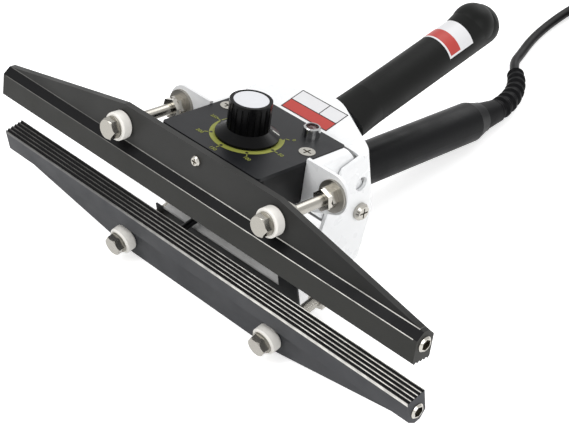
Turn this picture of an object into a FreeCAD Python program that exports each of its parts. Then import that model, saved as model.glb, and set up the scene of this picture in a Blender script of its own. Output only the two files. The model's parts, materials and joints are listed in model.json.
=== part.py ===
import FreeCAD, Part
import math
import os

# Hand-held crimp sealing pliers with two heated jaws, a dial thermostat and a mains lead.
# Every piece is drawn on the closed pliers: X along the jaws, Y back to the grips, Z up, with
# the origin below the front edge of the upper jaw, in the plane where the two jaws mesh.
# The lower arm then swings open about the pivot, and the whole is tilted onto its lower jaw and
# its lower grip and moved to the middle of its own footprint. Lengths are in millimetres.

# Jaws
jaw_length = 300.0
jaw_width = 11.5
bar_height = 12.8
bar_chamfer_depth = 3.9
bar_chamfer_rise = 3.5
web_height = 36.0
web_flat = 111.0
ridge_count = 5
ridge_depth = 1.0
jaw_gap = 0.3
heater_d = 6.5
heater_bore_rise = 9.3
heater_length = 230.0
end_plug_d = 8.0
end_plug_length = 12.0
end_plug_proud = 1.2
end_plug_chamfer = 0.8
end_plug_socket = 5.0
end_plug_socket_depth = 5.0

# Jaw bolts and what is threaded on them
bolt_d = 6.0
bolt_reach = 11.6
bolt_edge = 9.2
bolt_height = 24.8
bolt_head_flats = 10.0
bolt_head_height = 4.0
bolt_tail = 0.4
bolt_clearance = 0.15
nut_flats = 10.0
nut_height = 4.4
jam_nut_height = 3.4
tail_nut_height = 2.6
lock_nut_height = 2.8
lock_nut_turn = 18.0
washer_d = 12.0
washer_thickness = 1.0
flange_washer_d = 16.8
flange_washer_thickness = 1.6
bush_d = 15.0
bush_chamfer = 0.8
front_bush_length = 6.2
rear_bush_d = 13.0
rear_bush_length = 4.0

# Sheet frames
sheet = 2.0
outer_frame_width = 86.8
cheek_gap = 1.0
flange_front = 44.0
ear_height = 21.6
ear_corner = 10.0
ear_taper = 0.39
outer_top = 32.0
outer_bottom = -36.0
outer_bend = 5.0
pan_length = 32.0
pan_corner = 6.0
plate_front = 85.3
cheek_shoulder = 73.0
cheek_step = 23.0
cheek_rear = 95.0
rear_wall_low = 4.0
rear_wall_apex = 113.4
rear_wall_slope = 26.7
rear_wall_round = 26.0
rear_wall_corner = 4.0
apron_height = 7.0
cheek_hole_d = 8.0
cheek_hole_rise = 16.3
cheek_hole_back = 2.8
inner_top = 33.7
inner_bend = 4.0
inner_slope_start = 71.0
inner_rear = 92.0
inner_rear_top = -2.0
inner_low = -28.0
inner_low_front = 78.0
inner_waist = (66.0, -8.0)
inner_front_low = 9.0
inner_wall_top = -2.0

# Pivot and return spring
pivot_y = 81.2
pivot_z = -2.3
open_angle = 16.5
pivot_shaft_d = 8.0
pivot_end_play = 0.2
pivot_screw_d = 4.8
pivot_screw_depth = 8.0
pivot_head_d = 9.5
pivot_head_height = 3.2
thrust_washer_d = 16.0
spring_wire = 2.0
spring_coil_d = 13.0
spring_turns = 5
spring_gap = 0.6
spring_front_leg = 24.0
spring_rear_leg = 24.0
spring_front_rise = 8.0
spring_rear_rise = 6.0

# Handles
grip_d = 24.0
handle_offset = 12.3
handle_tube_d = 19.0
handle_tube_wall = 1.5
collar_d = 24.0
collar_length = 14.0
lower_tube_front = 89.0
lower_grip_end = 226.0
lower_grip_taper = 10.0
lower_grip_neck = 1.0
lower_grip_neck_d = 18.6
upper_tube_front = 98.0
upper_grip_front = 116.0
upper_grip_round = 134.0
upper_grip_end = 237.5
upper_grip_dome = 10.0
grip_swell_d = 25.0  # the swollen end of the upper grip, a ball
grip_swell_place = 221.5
grip_swell_rise = 2.9  # the ball's centre above the grip's axis
grip_swell_start = 207.0  # where the cone that leads to the ball leaves the grip
grip_swell_sink = 0.4
upper_root_width = 29.0
upper_root_height = 19.0
grip_end_wall = 4.0
handle_screw_d = 4.0
handle_screw_head_d = 7.0
handle_screw_head_height = 2.6

# Control box, panel and what they hold
box_width = 69.6
box_front = 13.5
box_back = 72.7
box_bottom = 11.0
box_wall = 1.5
box_corner = 2.0
boss_d = 8.0
panel_front = 11.0
panel_top = 34.2
panel_thickness = 2.0
panel_screw_spacing = 57.0
panel_screw_y = 51.0
panel_screw_d = 4.0
panel_screw_head_d = 8.5
panel_screw_length = 11.0
panel_screw_proud = 0.3
box_screw_d = 3.0
box_screw_length = 9.0
box_screw_head_d = 5.6
box_screw_head_height = 2.0
recess_width = 0.9
recess_depth = 1.2
knob_y = 37.0
knob_skirt_d = 32.6
knob_skirt_edge = 1.2
knob_skirt_rise = 3.4
knob_lift = 0.5
knob_body_d = 22.0
knob_top_d = 21.6
knob_height = 20.2
knob_flutes = 22
knob_flute_d = 1.0
knob_rim = 1.6
knob_cap_d = 17.8
knob_cap_thickness = 0.9
knob_recess_d = 18.0
knob_recess_depth = 3.6
thermostat_size = 30.0
thermostat_height = 15.0
thermostat_bush_d = 10.0
thermostat_bush_proud = 3.0
thermostat_nut_flats = 14.0
thermostat_nut_height = 2.4
thermostat_shaft_d = 6.0
thermostat_shaft_length = 34.0
indicator_x = 17.2
indicator_y = 65.6
indicator_d = 9.4
indicator_top_d = 8.8
indicator_height = 5.0
indicator_barrel_d = 7.8
indicator_barrel_length = 9.0
indicator_wall = 0.6
indicator_bevel = 0.4
indicator_lens_sink = 1.2
indicator_lens_dome = 0.9
indicator_nut_flats = 10.0
indicator_nut_height = 2.0
terminal_length = 24.0
terminal_width = 12.0
terminal_height = 10.0
terminal_ways = 3
terminal_bore_d = 4.0
terminal_gap = 0.6

# Jaw sensor
sensor_length = 18.0
sensor_height = 8.4
sensor_thickness = 2.6
sensor_z = 29.9
sensor_screw_d = 3.0
sensor_head_d = 5.6
sensor_head_height = 2.0

# Leads held by the pliers
supply_lead_d = 6.0
supply_drop = 4.2
supply_level_run = 40.0
supply_sink_run = 40.0
supply_sink = 0.5
supply_knee_gap = 3.0
supply_knee_back = 10.0
supply_knee_rise = 5.0
supply_climb = 15.0
supply_entry_y = 60.0
supply_end_rise = 7.0
grommet_flange_d = 13.0
grommet_flange = 1.2
grommet_neck_d = 10.0
heater_lead_d = 4.0
heater_lead_x = 20.0
upper_lead_entry_y = 30.0
lower_lead_entry_y = 36.0
heater_lead_end_rise = 6.0
heater_lead_run = 18.0
heater_lead_bend = 20.0

# Mains cord, its boot, the put-away coil and the plug
cord_d = 6.0
boot_spigot_d = 12.0
boot_collar_d = 17.6
boot_collar_length = 14.0
boot_rib_d = 14.4
boot_tip_d = 10.8
boot_groove = 1.2
boot_ribs = 7
boot_bend_radius = 62.0
boot_bend_angle = 46.0
boot_tip_height = 6.0
cord_tip_run = 14.0
coil_x = -2.0
coil_y = 297.6
coil_reversal_radius = 24.5
coil_pitch = 6.7
coil_layer_rise = 6.7
coil_turns_in = 3.0
coil_turns_out = 2.25
coil_approach_run = 22.5
coil_entry_run = 8.0
coil_exit_run = 28.0
tie_width = 9.0
tie_thickness = 0.8
tie_gap = 0.3
tie_bearing = -45.0
plug_relief_d = 10.0
plug_relief_base_d = 15.0
plug_relief_length = 14.0
plug_length = 36.0
plug_width = 28.0
plug_corner = 6.0
plug_edge = 3.0
plug_pin_d = 4.0
plug_pin_length = 19.0
plug_pin_spacing = 19.0

# Fits: a fixed fit is radial, a running fit turns, and a lead has room in its hole
fixed_gap = 0.05
running_gap = 0.06
face_gap = 0.1
lead_gap = 0.2

# Values that follow from the sizes above
web_front = bar_chamfer_depth
web_back = jaw_width - bar_chamfer_depth
bar_top = bar_height + bar_chamfer_rise
bore_y = jaw_width / 2
bore_z = heater_bore_rise
lead_z = bar_height / 2
flange_back = flange_front + sheet
outer_half = outer_frame_width / 2
bolt_spacing = outer_frame_width + 2 * bolt_reach
ear_width = bolt_spacing + 2 * bolt_edge
inner_half = outer_half - sheet - cheek_gap
ear_low = bolt_height - ear_height / 2
ear_top = bolt_height + ear_height / 2
box_half = box_width / 2
panel_bottom = panel_top - panel_thickness
spring_pitch = spring_wire + spring_gap
grip_r = grip_d / 2
tube_r = handle_tube_d / 2
tube_bore_r = tube_r - handle_tube_wall
lower_neck_end = lower_grip_end + lower_grip_taper + lower_grip_neck
shaft_bottom = panel_top + knob_height - knob_cap_thickness - thermostat_shaft_length
knob_bottom = panel_top + knob_lift
knob_top = panel_top + knob_height
coil_base = cord_d / 2 + tie_thickness + tie_gap
coil_outer_radius = coil_reversal_radius + coil_turns_in * coil_pitch
plug_height = 2 * (coil_base + coil_layer_rise)

ALONG_X = FreeCAD.Vector(1, 0, 0)
ALONG_Y = FreeCAD.Vector(0, 1, 0)
ALONG_Z = FreeCAD.Vector(0, 0, 1)
PLANES = {
    "xy": FreeCAD.Rotation(),
    "yz": FreeCAD.Rotation(FreeCAD.Vector(1, 1, 1), 120),
    "xz": FreeCAD.Rotation(ALONG_X, 90),
}


def vec(x, y, z):
    """A point or a direction."""
    return FreeCAD.Vector(x, y, z)


def block(x, y, z):
    """A box from its low and high limits on each axis."""
    return Part.makeBox(x[1] - x[0], y[1] - y[0], z[1] - z[0], vec(x[0], y[0], z[0]))


def placed(solid, start, direction):
    """Moves a solid drawn on +Z at the origin to a start point and a direction."""
    solid.Placement = FreeCAD.Placement(start, FreeCAD.Rotation(ALONG_Z, direction))
    return solid


def rod(radius, start, direction, length):
    """A round bar from a start point."""
    return Part.makeCylinder(radius, length, start, direction)


def pipe_rod(radius, bore, start, direction, length):
    """A round bar with a bore through it."""
    return rod(radius, start, direction, length).cut(rod(bore, start, direction, length))


def lathe(profile, start, direction):
    """Turns a closed outline of (radius, height) points about a direction from a start point."""
    points = [vec(radius, 0, height) for radius, height in profile]
    face = Part.Face(Part.makePolygon(points + points[:1]))
    return placed(face.revolve(vec(0, 0, 0), ALONG_Z, 360), start, direction)


def hex_bar(flats, start, direction, length):
    """A hexagonal bar, measured across its flats."""
    corner = flats / math.sqrt(3)
    turns = [math.radians(60 * step) for step in range(7)]
    points = [vec(corner * math.cos(turn), corner * math.sin(turn), 0) for turn in turns]
    return placed(Part.Face(Part.makePolygon(points)).extrude(vec(0, 0, length)), start, direction)


def outline(corners):
    """A closed wire in the XY plane through (a, b, radius) corners, rounded where a radius is given."""
    edges = []
    count = len(corners)
    starts = []
    middles = []
    ends = []
    for index, (a, b, radius) in enumerate(corners):
        here = vec(a, b, 0)
        before = vec(corners[index - 1][0], corners[index - 1][1], 0).sub(here).normalize()
        after_corner = corners[(index + 1) % count]
        after = vec(after_corner[0], after_corner[1], 0).sub(here).normalize()
        half = before.getAngle(after) / 2
        reach = radius / math.tan(half)
        inward = before.add(after).normalize()
        starts.append(here.add(before * reach))
        ends.append(here.add(after * reach))
        middles.append(here.add(inward * (radius / math.sin(half) - radius)))
    for index in range(count):
        if corners[index][2] > 0:
            edges.append(Part.Arc(starts[index], middles[index], ends[index]).toShape())
        edges.append(Part.LineSegment(ends[index], starts[(index + 1) % count]).toShape())
    return Part.Wire(edges)


def slab(corners, plane, low, high):
    """A plate of the given outline, standing between two heights over its plane."""
    solid = Part.Face(outline(corners)).extrude(vec(0, 0, high - low))
    turn = PLANES[plane]
    base = -high if plane == "xz" else low
    solid.Placement = FreeCAD.Placement(turn.multVec(vec(0, 0, base)), turn)
    return solid


def fused(solids):
    """One solid of several that meet."""
    return solids[0].multiFuse(solids[1:]).removeSplitter()


def group(solids):
    """Separate solids that share a node."""
    return Part.makeCompound([solid for shape in solids for solid in shape.Solids])


def on_both_sides(solid):
    """A solid and its mirror image across the middle of the jaws."""
    return [solid, solid.mirror(vec(0, 0, 0), ALONG_X)]


def flip(shape):
    """The lower arm's copy of an upper piece, mirrored in the plane where the jaws mesh."""
    return shape.mirror(vec(0, 0, 0), ALONG_Z)


def swing_point(point):
    """A point of the closed lower arm, moved to where it is with the pliers open."""
    turn = FreeCAD.Rotation(ALONG_X, open_angle)
    centre = vec(0, pivot_y, pivot_z)
    return turn.multVec(point.sub(centre)).add(centre)


def cross_recess(head_d, start, direction):
    """The cross-shaped cut in a screw's head, from its top surface down."""
    reach = head_d * 0.3
    blade = block((-reach, reach), (-recess_width / 2, recess_width / 2), (-recess_depth, recess_depth))
    other = block((-recess_width / 2, recess_width / 2), (-reach, reach), (-recess_depth, recess_depth))
    return placed(blade.fuse(other), start, direction)


def pan_screw(head_d, head_height, shank_d, length, start, direction):
    """A pan-head screw whose head stands on the start point and whose shank goes the other way."""
    crown = head_d / 2 - head_height * 0.35
    profile = [
        (0, -length),
        (shank_d / 2, -length),
        (shank_d / 2, 0),
        (head_d / 2, 0),
        (head_d / 2, head_height * 0.55),
        (crown, head_height),
        (0, head_height),
    ]
    screw = lathe(profile, start, direction)
    top = start.add(direction * head_height)
    return screw.cut(cross_recess(head_d, top, direction))


# Paths of leads and cords

def arc_edges(points, radii):
    """Straight runs between points, joined by tangent arcs of the given radii."""
    edges = []
    position = points[0]
    for index in range(1, len(points) - 1):
        here = points[index]
        before = points[index - 1].sub(here).normalize()
        after = points[index + 1].sub(here).normalize()
        half = before.getAngle(after) / 2
        radius = radii[index - 1]
        reach = radius / math.tan(half)
        middle = here.add(before.add(after).normalize() * (radius / math.sin(half) - radius))
        start = here.add(before * reach)
        end = here.add(after * reach)
        edges.append(Part.LineSegment(position, start).toShape())
        edges.append(Part.Arc(start, middle, end).toShape())
        position = end
    edges.append(Part.LineSegment(position, points[-1]).toShape())
    return edges


def route_radii(points):
    """The largest arc radius that each inner point's two runs allow."""
    radii = []
    for index in range(1, len(points) - 1):
        before = points[index - 1].sub(points[index])
        after = points[index + 1].sub(points[index])
        turn = math.pi - before.getAngle(after)
        radii.append(0.45 * min(before.Length, after.Length) / math.tan(turn / 2))
    return radii


def swept(edges, diameter):
    """A round tube along joined edges, in default mode."""
    wire = Part.Wire(edges)
    start = edges[0].firstVertex().Point
    direction = edges[0].tangentAt(edges[0].FirstParameter)
    ring = Part.Wire([Part.makeCircle(diameter / 2, start, direction)])
    return wire.makePipeShell([ring], True, False)


def lead(points, diameter):
    """A round lead through points, with arcs as large as its runs allow."""
    return swept(arc_edges(points, route_radii(points)), diameter)


def biarc(start, start_tangent, end, end_tangent):
    """Two arcs that join two points with the given tangents."""
    chord = end.sub(start)
    total = start_tangent.add(end_tangent)
    along = chord.dot(total)
    spread = 2 * (1 - start_tangent.dot(end_tangent))
    reach = (math.sqrt(along * along + spread * chord.dot(chord)) - along) / spread
    knee_a = start.add(start_tangent * reach)
    knee_b = end.sub(end_tangent * reach)
    joint = (knee_a.add(knee_b)) * 0.5
    edges = []
    for first, knee, last in ((start, knee_a, joint), (joint, knee_b, end)):
        weight = last.sub(first).Length / (2 * knee.sub(first).Length)
        middle = (first + knee * (2 * weight) + last) * (1 / (2 + 2 * weight))
        edges.append(Part.Arc(first, middle, last).toShape())
    return edges


def winding_edges(curve, first, last, steps):
    """Biarcs along a curve given as a function of one number, in equal steps."""
    nudge = 1e-4
    edges = []
    values = [first + (last - first) * step / steps for step in range(steps + 1)]
    tangents = [curve(value + nudge).sub(curve(value - nudge)).normalize() for value in values]
    for index in range(steps):
        start = curve(values[index])
        end = curve(values[index + 1])
        edges.extend(biarc(start, tangents[index], end, tangents[index + 1]))
    return edges


def least_gap(edges, diameter, apart):
    """The smallest clear distance between stretches of one tube further apart than the given length."""
    points = []
    travelled = 0.0
    for edge in edges:
        count = max(3, int(edge.Length / diameter * 2))
        for step in range(count):
            along = edge.Length * step / count
            points.append((travelled + along, edge.valueAt(edge.getParameterByLength(along))))
        travelled += edge.Length
    least = math.inf
    for index, (place, point) in enumerate(points):
        for other_place, other in points[index + 1:]:
            if other_place - place > apart:
                least = min(least, point.distanceToPoint(other))
    return least - diameter


# Jaws and heaters

def jaw(crests_at_edges):
    """A jaw bar with its sealing ridges, its tapered web and its holes."""
    half_pitch = jaw_width / ridge_count / 2
    crest = (jaw_gap - ridge_depth) / 2
    root = (jaw_gap + ridge_depth) / 2
    heights = (crest, root) if crests_at_edges else (root, crest)
    section = [(step * half_pitch, heights[step % 2], 0) for step in range(2 * ridge_count + 1)]
    section += [
        (jaw_width, bar_height, 0),
        (web_back, bar_top, 0),
        (web_front, bar_top, 0),
        (0, bar_height, 0),
    ]
    bar = slab(section, "yz", -jaw_length / 2, jaw_length / 2)
    web_foot = bar_height
    web_outline = [
        (-jaw_length / 2, web_foot, 0),
        (jaw_length / 2, web_foot, 0),
        (jaw_length / 2, bar_top, 0),
        (web_flat / 2, web_height, 0),
        (-web_flat / 2, web_height, 0),
        (-jaw_length / 2, bar_top, 0),
    ]
    body = fused([bar, slab(web_outline, "xz", web_front, web_back)])
    bore_start = vec(-jaw_length / 2, bore_y, bore_z)
    cuts = [rod(heater_d / 2 + fixed_gap, bore_start, ALONG_X, jaw_length)]
    plug_hole = rod(end_plug_d / 2 + fixed_gap, bore_start, ALONG_X, end_plug_length)
    cuts += on_both_sides(plug_hole)
    bolt_hole = rod(bolt_d / 2 + bolt_clearance, bolt_point(web_front), ALONG_Y, jaw_width)
    cuts += on_both_sides(bolt_hole)
    lead_side = -heater_lead_x if crests_at_edges else heater_lead_x
    cuts.append(rod(heater_lead_d / 2 + lead_gap, vec(lead_side, bore_y, lead_z), ALONG_Y, jaw_width))
    if not crests_at_edges:
        cuts.append(rod(sensor_screw_d / 2 + fixed_gap, vec(0, 0, sensor_z), ALONG_Y, jaw_width))
    return body.cut(group(cuts))


def heater():
    """The cartridge heater in the jaw's bore."""
    return rod(heater_d / 2, vec(-heater_length / 2, bore_y, bore_z), ALONG_X, heater_length)


def end_plugs():
    """Socket screws that close the heater bore at both ends of a jaw."""
    radius = end_plug_d / 2
    total = end_plug_length + end_plug_proud
    profile = [
        (0, 0),
        (radius, 0),
        (radius, total - end_plug_chamfer),
        (radius - end_plug_chamfer, total),
        (0, total),
    ]
    plug = lathe(profile, vec(jaw_length / 2 - end_plug_length, bore_y, bore_z), ALONG_X)
    mouth = vec(jaw_length / 2 + end_plug_proud - end_plug_socket_depth, bore_y, bore_z)
    return group(on_both_sides(plug.cut(hex_bar(end_plug_socket, mouth, ALONG_X, end_plug_socket_depth))))


# Jaw bolts

def bolt_point(y):
    """A point on the axis of the bolt on the +X side."""
    return vec(bolt_spacing / 2, y, bolt_height)


bush_front = web_front - front_bush_length
head_seat = bush_front - washer_thickness
rear_bush_back = web_back + rear_bush_length
washer_front = flange_front - flange_washer_thickness
bolt_bore = bolt_d / 2 + bolt_clearance


def jaw_bolts():
    """Hexagon-head bolts that carry a jaw on its frame."""
    end = flange_back + tail_nut_height + bolt_tail
    head = hex_bar(bolt_head_flats, bolt_point(head_seat - bolt_head_height), ALONG_Y, bolt_head_height)
    dome_profile = [
        (0, 0),
        (bolt_head_flats / 2, 0),
        (bolt_head_flats / 2 + bolt_head_height, bolt_head_height),
        (0, bolt_head_height),
    ]
    dome = lathe(dome_profile, bolt_point(head_seat - bolt_head_height), ALONG_Y)
    shank = rod(bolt_d / 2, bolt_point(head_seat), ALONG_Y, end - head_seat)
    return group(on_both_sides(fused([head.common(dome), shank])))


def ring_on_bolts(diameter, front, thickness):
    """Plain rings threaded on both bolts."""
    return on_both_sides(pipe_rod(diameter / 2, bolt_bore, bolt_point(front), ALONG_Y, thickness))


def bushes(diameter, front, length):
    """Ceramic insulating bushes with bevelled rims, threaded on both bolts."""
    radius = diameter / 2
    profile = [
        (bolt_bore, 0),
        (radius - bush_chamfer, 0),
        (radius, bush_chamfer),
        (radius, length - bush_chamfer),
        (radius - bush_chamfer, length),
        (bolt_bore, length),
    ]
    return group(on_both_sides(lathe(profile, bolt_point(front), ALONG_Y)))


def nuts_on_bolts(front, height, turn=0):
    """Hexagon nuts on both bolts, turned about the bolt by an angle."""
    nut = hex_bar(nut_flats, bolt_point(front), ALONG_Y, height)
    nut.rotate(bolt_point(front), ALONG_Y, turn)
    return on_both_sides(nut.cut(rod(bolt_bore, bolt_point(front), ALONG_Y, height)))


def jam_nuts():
    """Thin nuts that clamp the bushes against the web."""
    return group(nuts_on_bolts(rear_bush_back, jam_nut_height))


def flange_nuts():
    """Nuts on both faces of the frame's ears, with a lock nut on the front ones."""
    front = nuts_on_bolts(washer_front - nut_height, nut_height)
    lock = nuts_on_bolts(washer_front - nut_height - lock_nut_height, lock_nut_height, lock_nut_turn)
    return group(lock + front + nuts_on_bolts(flange_back, tail_nut_height))


def flange_washers():
    """A wide washer in front of each ear."""
    return group(ring_on_bolts(flange_washer_d, washer_front, flange_washer_thickness))


def ears(inner_edge):
    """Plates that stand out sideways from a frame and take the jaw bolts."""
    bolt_x = bolt_spacing / 2
    corners = [
        (inner_edge, ear_low - ear_taper * (bolt_x - inner_edge), 0),
        (ear_width / 2, ear_low + ear_taper * bolt_edge, ear_corner),
        (ear_width / 2, ear_top, ear_corner),
        (inner_edge, ear_top, 0),
    ]
    ear = slab(corners, "xz", flange_front, flange_back)
    return on_both_sides(ear.cut(rod(bolt_bore, bolt_point(flange_front), ALONG_Y, sheet)))


# Frames

def pivot_rod(radius, half_length):
    """A bar along the pivot axis, even about the middle."""
    return rod(radius, vec(-half_length, pivot_y, pivot_z), ALONG_X, 2 * half_length)


def upper_frame():
    """The inner frame: cheeks with the upper jaw's ears, the box's cradle and the lower grip's collar."""
    deep = inner_low - sheet
    skin_corners = [
        (-inner_half, inner_low, 0),
        (inner_half, inner_low, 0),
        (inner_half, inner_top, inner_bend),
        (-inner_half, inner_top, inner_bend),
    ]
    skin = slab(skin_corners, "xz", flange_front, inner_rear)
    hollow_half = inner_half - sheet
    bend = inner_bend - sheet
    hollow_corners = [
        (-hollow_half, deep, 0),
        (hollow_half, deep, 0),
        (hollow_half, inner_top - sheet, bend),
        (-hollow_half, inner_top - sheet, bend),
    ]
    hollow = slab(hollow_corners, "xz", flange_front, inner_rear)
    side_corners = [
        (flange_front, inner_top, 0),
        (inner_slope_start, inner_top, 0),
        (inner_rear, inner_rear_top, 0),
        (inner_rear, inner_low, 0),
        (inner_low_front, inner_low, 0),
        (inner_waist[0], inner_waist[1], 0),
        (flange_front, inner_front_low, 0),
    ]
    channel = skin.cut(hollow).common(slab(side_corners, "yz", -inner_half, inner_half))
    box_room = box_half + lead_gap
    window = block((-box_room, box_room), (flange_front, inner_rear), (box_bottom, inner_top))
    wall = block((-inner_half, inner_half), (inner_rear - sheet, inner_rear), (inner_low, inner_wall_top))
    cradle_floor = (box_bottom - sheet, box_bottom)
    cradle = block((-inner_half, inner_half), (flange_back, inner_slope_start), cradle_floor)
    handle_start = vec(0, inner_rear, -handle_offset)
    collar = rod(collar_d / 2, handle_start, ALONG_Y, collar_length)
    body = fused([channel.cut(window), wall, cradle, collar] + ears(box_room))
    tube_start = vec(0, inner_rear - sheet, -handle_offset)
    cuts = [rod(tube_r + fixed_gap, tube_start, ALONG_Y, sheet + collar_length)]
    cuts.append(pivot_rod(pivot_shaft_d / 2 + fixed_gap, inner_half))
    grommet = vec(0, supply_entry_y, box_bottom - sheet)
    cuts.append(rod(grommet_neck_d / 2 + fixed_gap, grommet, ALONG_Z, sheet))
    boss = vec(panel_screw_spacing / 2, panel_screw_y, box_bottom - sheet)
    cuts += on_both_sides(rod(box_screw_d / 2 + fixed_gap, boss, ALONG_Z, sheet))
    screw_start = vec(0, inner_rear + collar_length / 2, -handle_offset - collar_d / 2)
    cuts.append(rod(handle_screw_d / 2 + fixed_gap, screw_start, ALONG_Z, collar_d / 2))
    return body.cut(group(cuts))


def rear_plan(inset, low, high):
    """The outer frame seen from above, drawn in by an inset: straight cheeks and a blunt rear point."""
    half = outer_half - inset
    lean = math.tan(math.radians(rear_wall_slope))
    apex = rear_wall_apex - inset / math.cos(math.radians(rear_wall_slope))
    shoulder = apex - half * lean
    corners = [
        (-half, flange_front, 0),
        (half, flange_front, 0),
        (half, shoulder, rear_wall_corner - inset),
        (0, apex, rear_wall_round - inset),
        (-half, shoulder, rear_wall_corner - inset),
    ]
    return slab(corners, "xy", low, high)


def lower_frame():
    """The outer frame: the lower jaw's cheeks and pan, with the upper grip's top plate and rear wall."""
    rear_limit = rear_wall_apex
    skin_corners = [
        (-outer_half, outer_bottom, outer_bend),
        (outer_half, outer_bottom, outer_bend),
        (outer_half, outer_top, outer_bend),
        (-outer_half, outer_top, outer_bend),
    ]
    skin = slab(skin_corners, "xz", flange_front, rear_limit)
    hollow_half = outer_half - sheet
    bend = outer_bend - sheet
    wall_top = outer_top - sheet
    hollow_corners = [
        (-hollow_half, outer_bottom + sheet, bend),
        (hollow_half, outer_bottom + sheet, bend),
        (hollow_half, wall_top, bend),
        (-hollow_half, wall_top, bend),
    ]
    hollow = slab(hollow_corners, "xz", flange_front, rear_limit)
    side_corners = [
        (flange_front, outer_bottom, 0),
        (flange_front + pan_length, outer_bottom, pan_corner),
        (cheek_rear, rear_wall_low, pan_corner),
        (rear_limit, rear_wall_low, 0),
        (rear_limit, outer_top, 0),
        (cheek_shoulder, outer_top, pan_corner),
        (flange_front, outer_top - cheek_step - ear_height, 0),
    ]
    side = slab(side_corners, "yz", -outer_half, outer_half)
    shell = skin.cut(hollow).common(side).common(rear_plan(0, outer_bottom, outer_top))
    front_cut = block((-hollow_half, hollow_half), (flange_front, plate_front), (0, outer_top))
    wall = rear_plan(0, rear_wall_low, wall_top).cut(rear_plan(sheet, rear_wall_low, wall_top))
    wall_front = rear_wall_apex - outer_half * math.tan(math.radians(rear_wall_slope)) - rear_wall_corner
    wall = wall.common(block((-outer_half, outer_half), (wall_front, rear_limit), (rear_wall_low, outer_top)))
    apron = block((-hollow_half, hollow_half), (flange_front, flange_back),
                  (outer_bottom + sheet / 2, outer_bottom + apron_height))
    collar_start = vec(0, upper_tube_front, handle_offset)
    collar = rod(collar_d / 2, collar_start, ALONG_Y, rear_limit - upper_tube_front)
    collar = collar.common(rear_plan(sheet / 2, 0, outer_top))
    lower_ears = [flip(ear) for ear in ears(hollow_half)]
    body = fused([shell.cut(front_cut), wall, apron, collar] + lower_ears)
    cuts = [rod(tube_r + fixed_gap, collar_start, ALONG_Y, rear_limit - upper_tube_front)]
    cuts.append(pivot_rod(pivot_shaft_d / 2 + running_gap, outer_half))
    hole_start = vec(-outer_half, pivot_y + cheek_hole_back, pivot_z + cheek_hole_rise)
    cuts.append(rod(cheek_hole_d / 2, hole_start, ALONG_X, 2 * outer_half))
    screw_start = vec(0, upper_tube_front + collar_length / 3, handle_offset)
    cuts.append(rod(handle_screw_d / 2 + fixed_gap, screw_start, ALONG_Z, collar_d / 2))
    return body.cut(group(cuts))


# Pivot and spring

pivot_half = outer_half + pivot_end_play


def pivot_shaft():
    """The bar that both frames hang on, tapped at both ends."""
    bottom = vec(pivot_half - pivot_screw_depth, pivot_y, pivot_z)
    tapped = rod(pivot_screw_d / 2 + fixed_gap, bottom, ALONG_X, pivot_screw_depth)
    return pivot_rod(pivot_shaft_d / 2, pivot_half).cut(group(on_both_sides(tapped)))


def pivot_screws():
    """Screws whose heads keep the outer cheeks on the shaft."""
    seat = vec(pivot_half, pivot_y, pivot_z)
    screw = pan_screw(pivot_head_d, pivot_head_height, pivot_screw_d, pivot_screw_depth, seat, ALONG_X)
    return group(on_both_sides(screw))


def thrust_washers():
    """Washers that keep the two frames' cheeks apart."""
    start = vec(inner_half, pivot_y, pivot_z)
    bore = pivot_shaft_d / 2 + fixed_gap
    washer = pipe_rod(thrust_washer_d / 2, bore, start, ALONG_X, cheek_gap - face_gap)
    return group(on_both_sides(washer))


def spring_point(turn):
    """A point on the return spring's coil, counted in turns from the top towards the back."""
    angle = 2 * math.pi * turn
    radius = spring_coil_d / 2
    x = spring_pitch * (turn - spring_turns / 2)
    return vec(x, pivot_y + radius * math.sin(angle), pivot_z + radius * math.cos(angle))


def return_spring():
    """The torsion spring that opens the pliers: one leg under the cradle, one under the upper tube."""
    first = spring_front_rise / 360
    last = spring_turns - spring_rear_rise / 360
    coil = winding_edges(spring_point, first, last, spring_turns * 4)
    start = coil[0].firstVertex().Point
    end = coil[-1].lastVertex().Point
    into = coil[0].tangentAt(coil[0].FirstParameter)
    out = coil[-1].tangentAt(coil[-1].LastParameter)
    front_leg = Part.LineSegment(start.sub(into * spring_front_leg), start).toShape()
    rear_leg = Part.LineSegment(end, end.add(out * spring_rear_leg)).toShape()
    print("return spring gap", round(least_gap(coil, spring_wire, spring_coil_d), 2))
    return swept([front_leg] + coil + [rear_leg], spring_wire)


# Handles

def handle_tube(front, end, height):
    """A steel handle tube along Y."""
    return pipe_rod(tube_r, tube_bore_r, vec(0, front, height), ALONG_Y, end - front)


lower_tube_end = lower_grip_end - grip_end_wall
upper_tube_end = upper_grip_end - upper_grip_dome - grip_end_wall


def lower_handle_tube():
    """The tube of the lower grip, drilled for the screw in its collar."""
    tube = handle_tube(lower_tube_front, lower_tube_end, -handle_offset)
    hole = vec(0, inner_rear + collar_length / 2, -handle_offset - collar_d / 2)
    return tube.cut(rod(handle_screw_d / 2 + fixed_gap, hole, ALONG_Z, collar_d / 2))


def upper_handle_tube():
    """The tube of the upper grip, drilled for the screw in its collar."""
    tube = handle_tube(upper_tube_front, upper_tube_end, handle_offset)
    hole = vec(0, upper_tube_front + collar_length / 3, handle_offset)
    return tube.cut(rod(handle_screw_d / 2 + fixed_gap, hole, ALONG_Z, collar_d / 2))


def handle_screw(y, height, direction):
    """A screw that holds a handle tube in its collar."""
    seat = vec(0, y, height + direction.z * collar_d / 2)
    length = collar_d / 2 - tube_bore_r
    return pan_screw(handle_screw_head_d, handle_screw_head_height, handle_screw_d, length, seat, direction)


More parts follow.
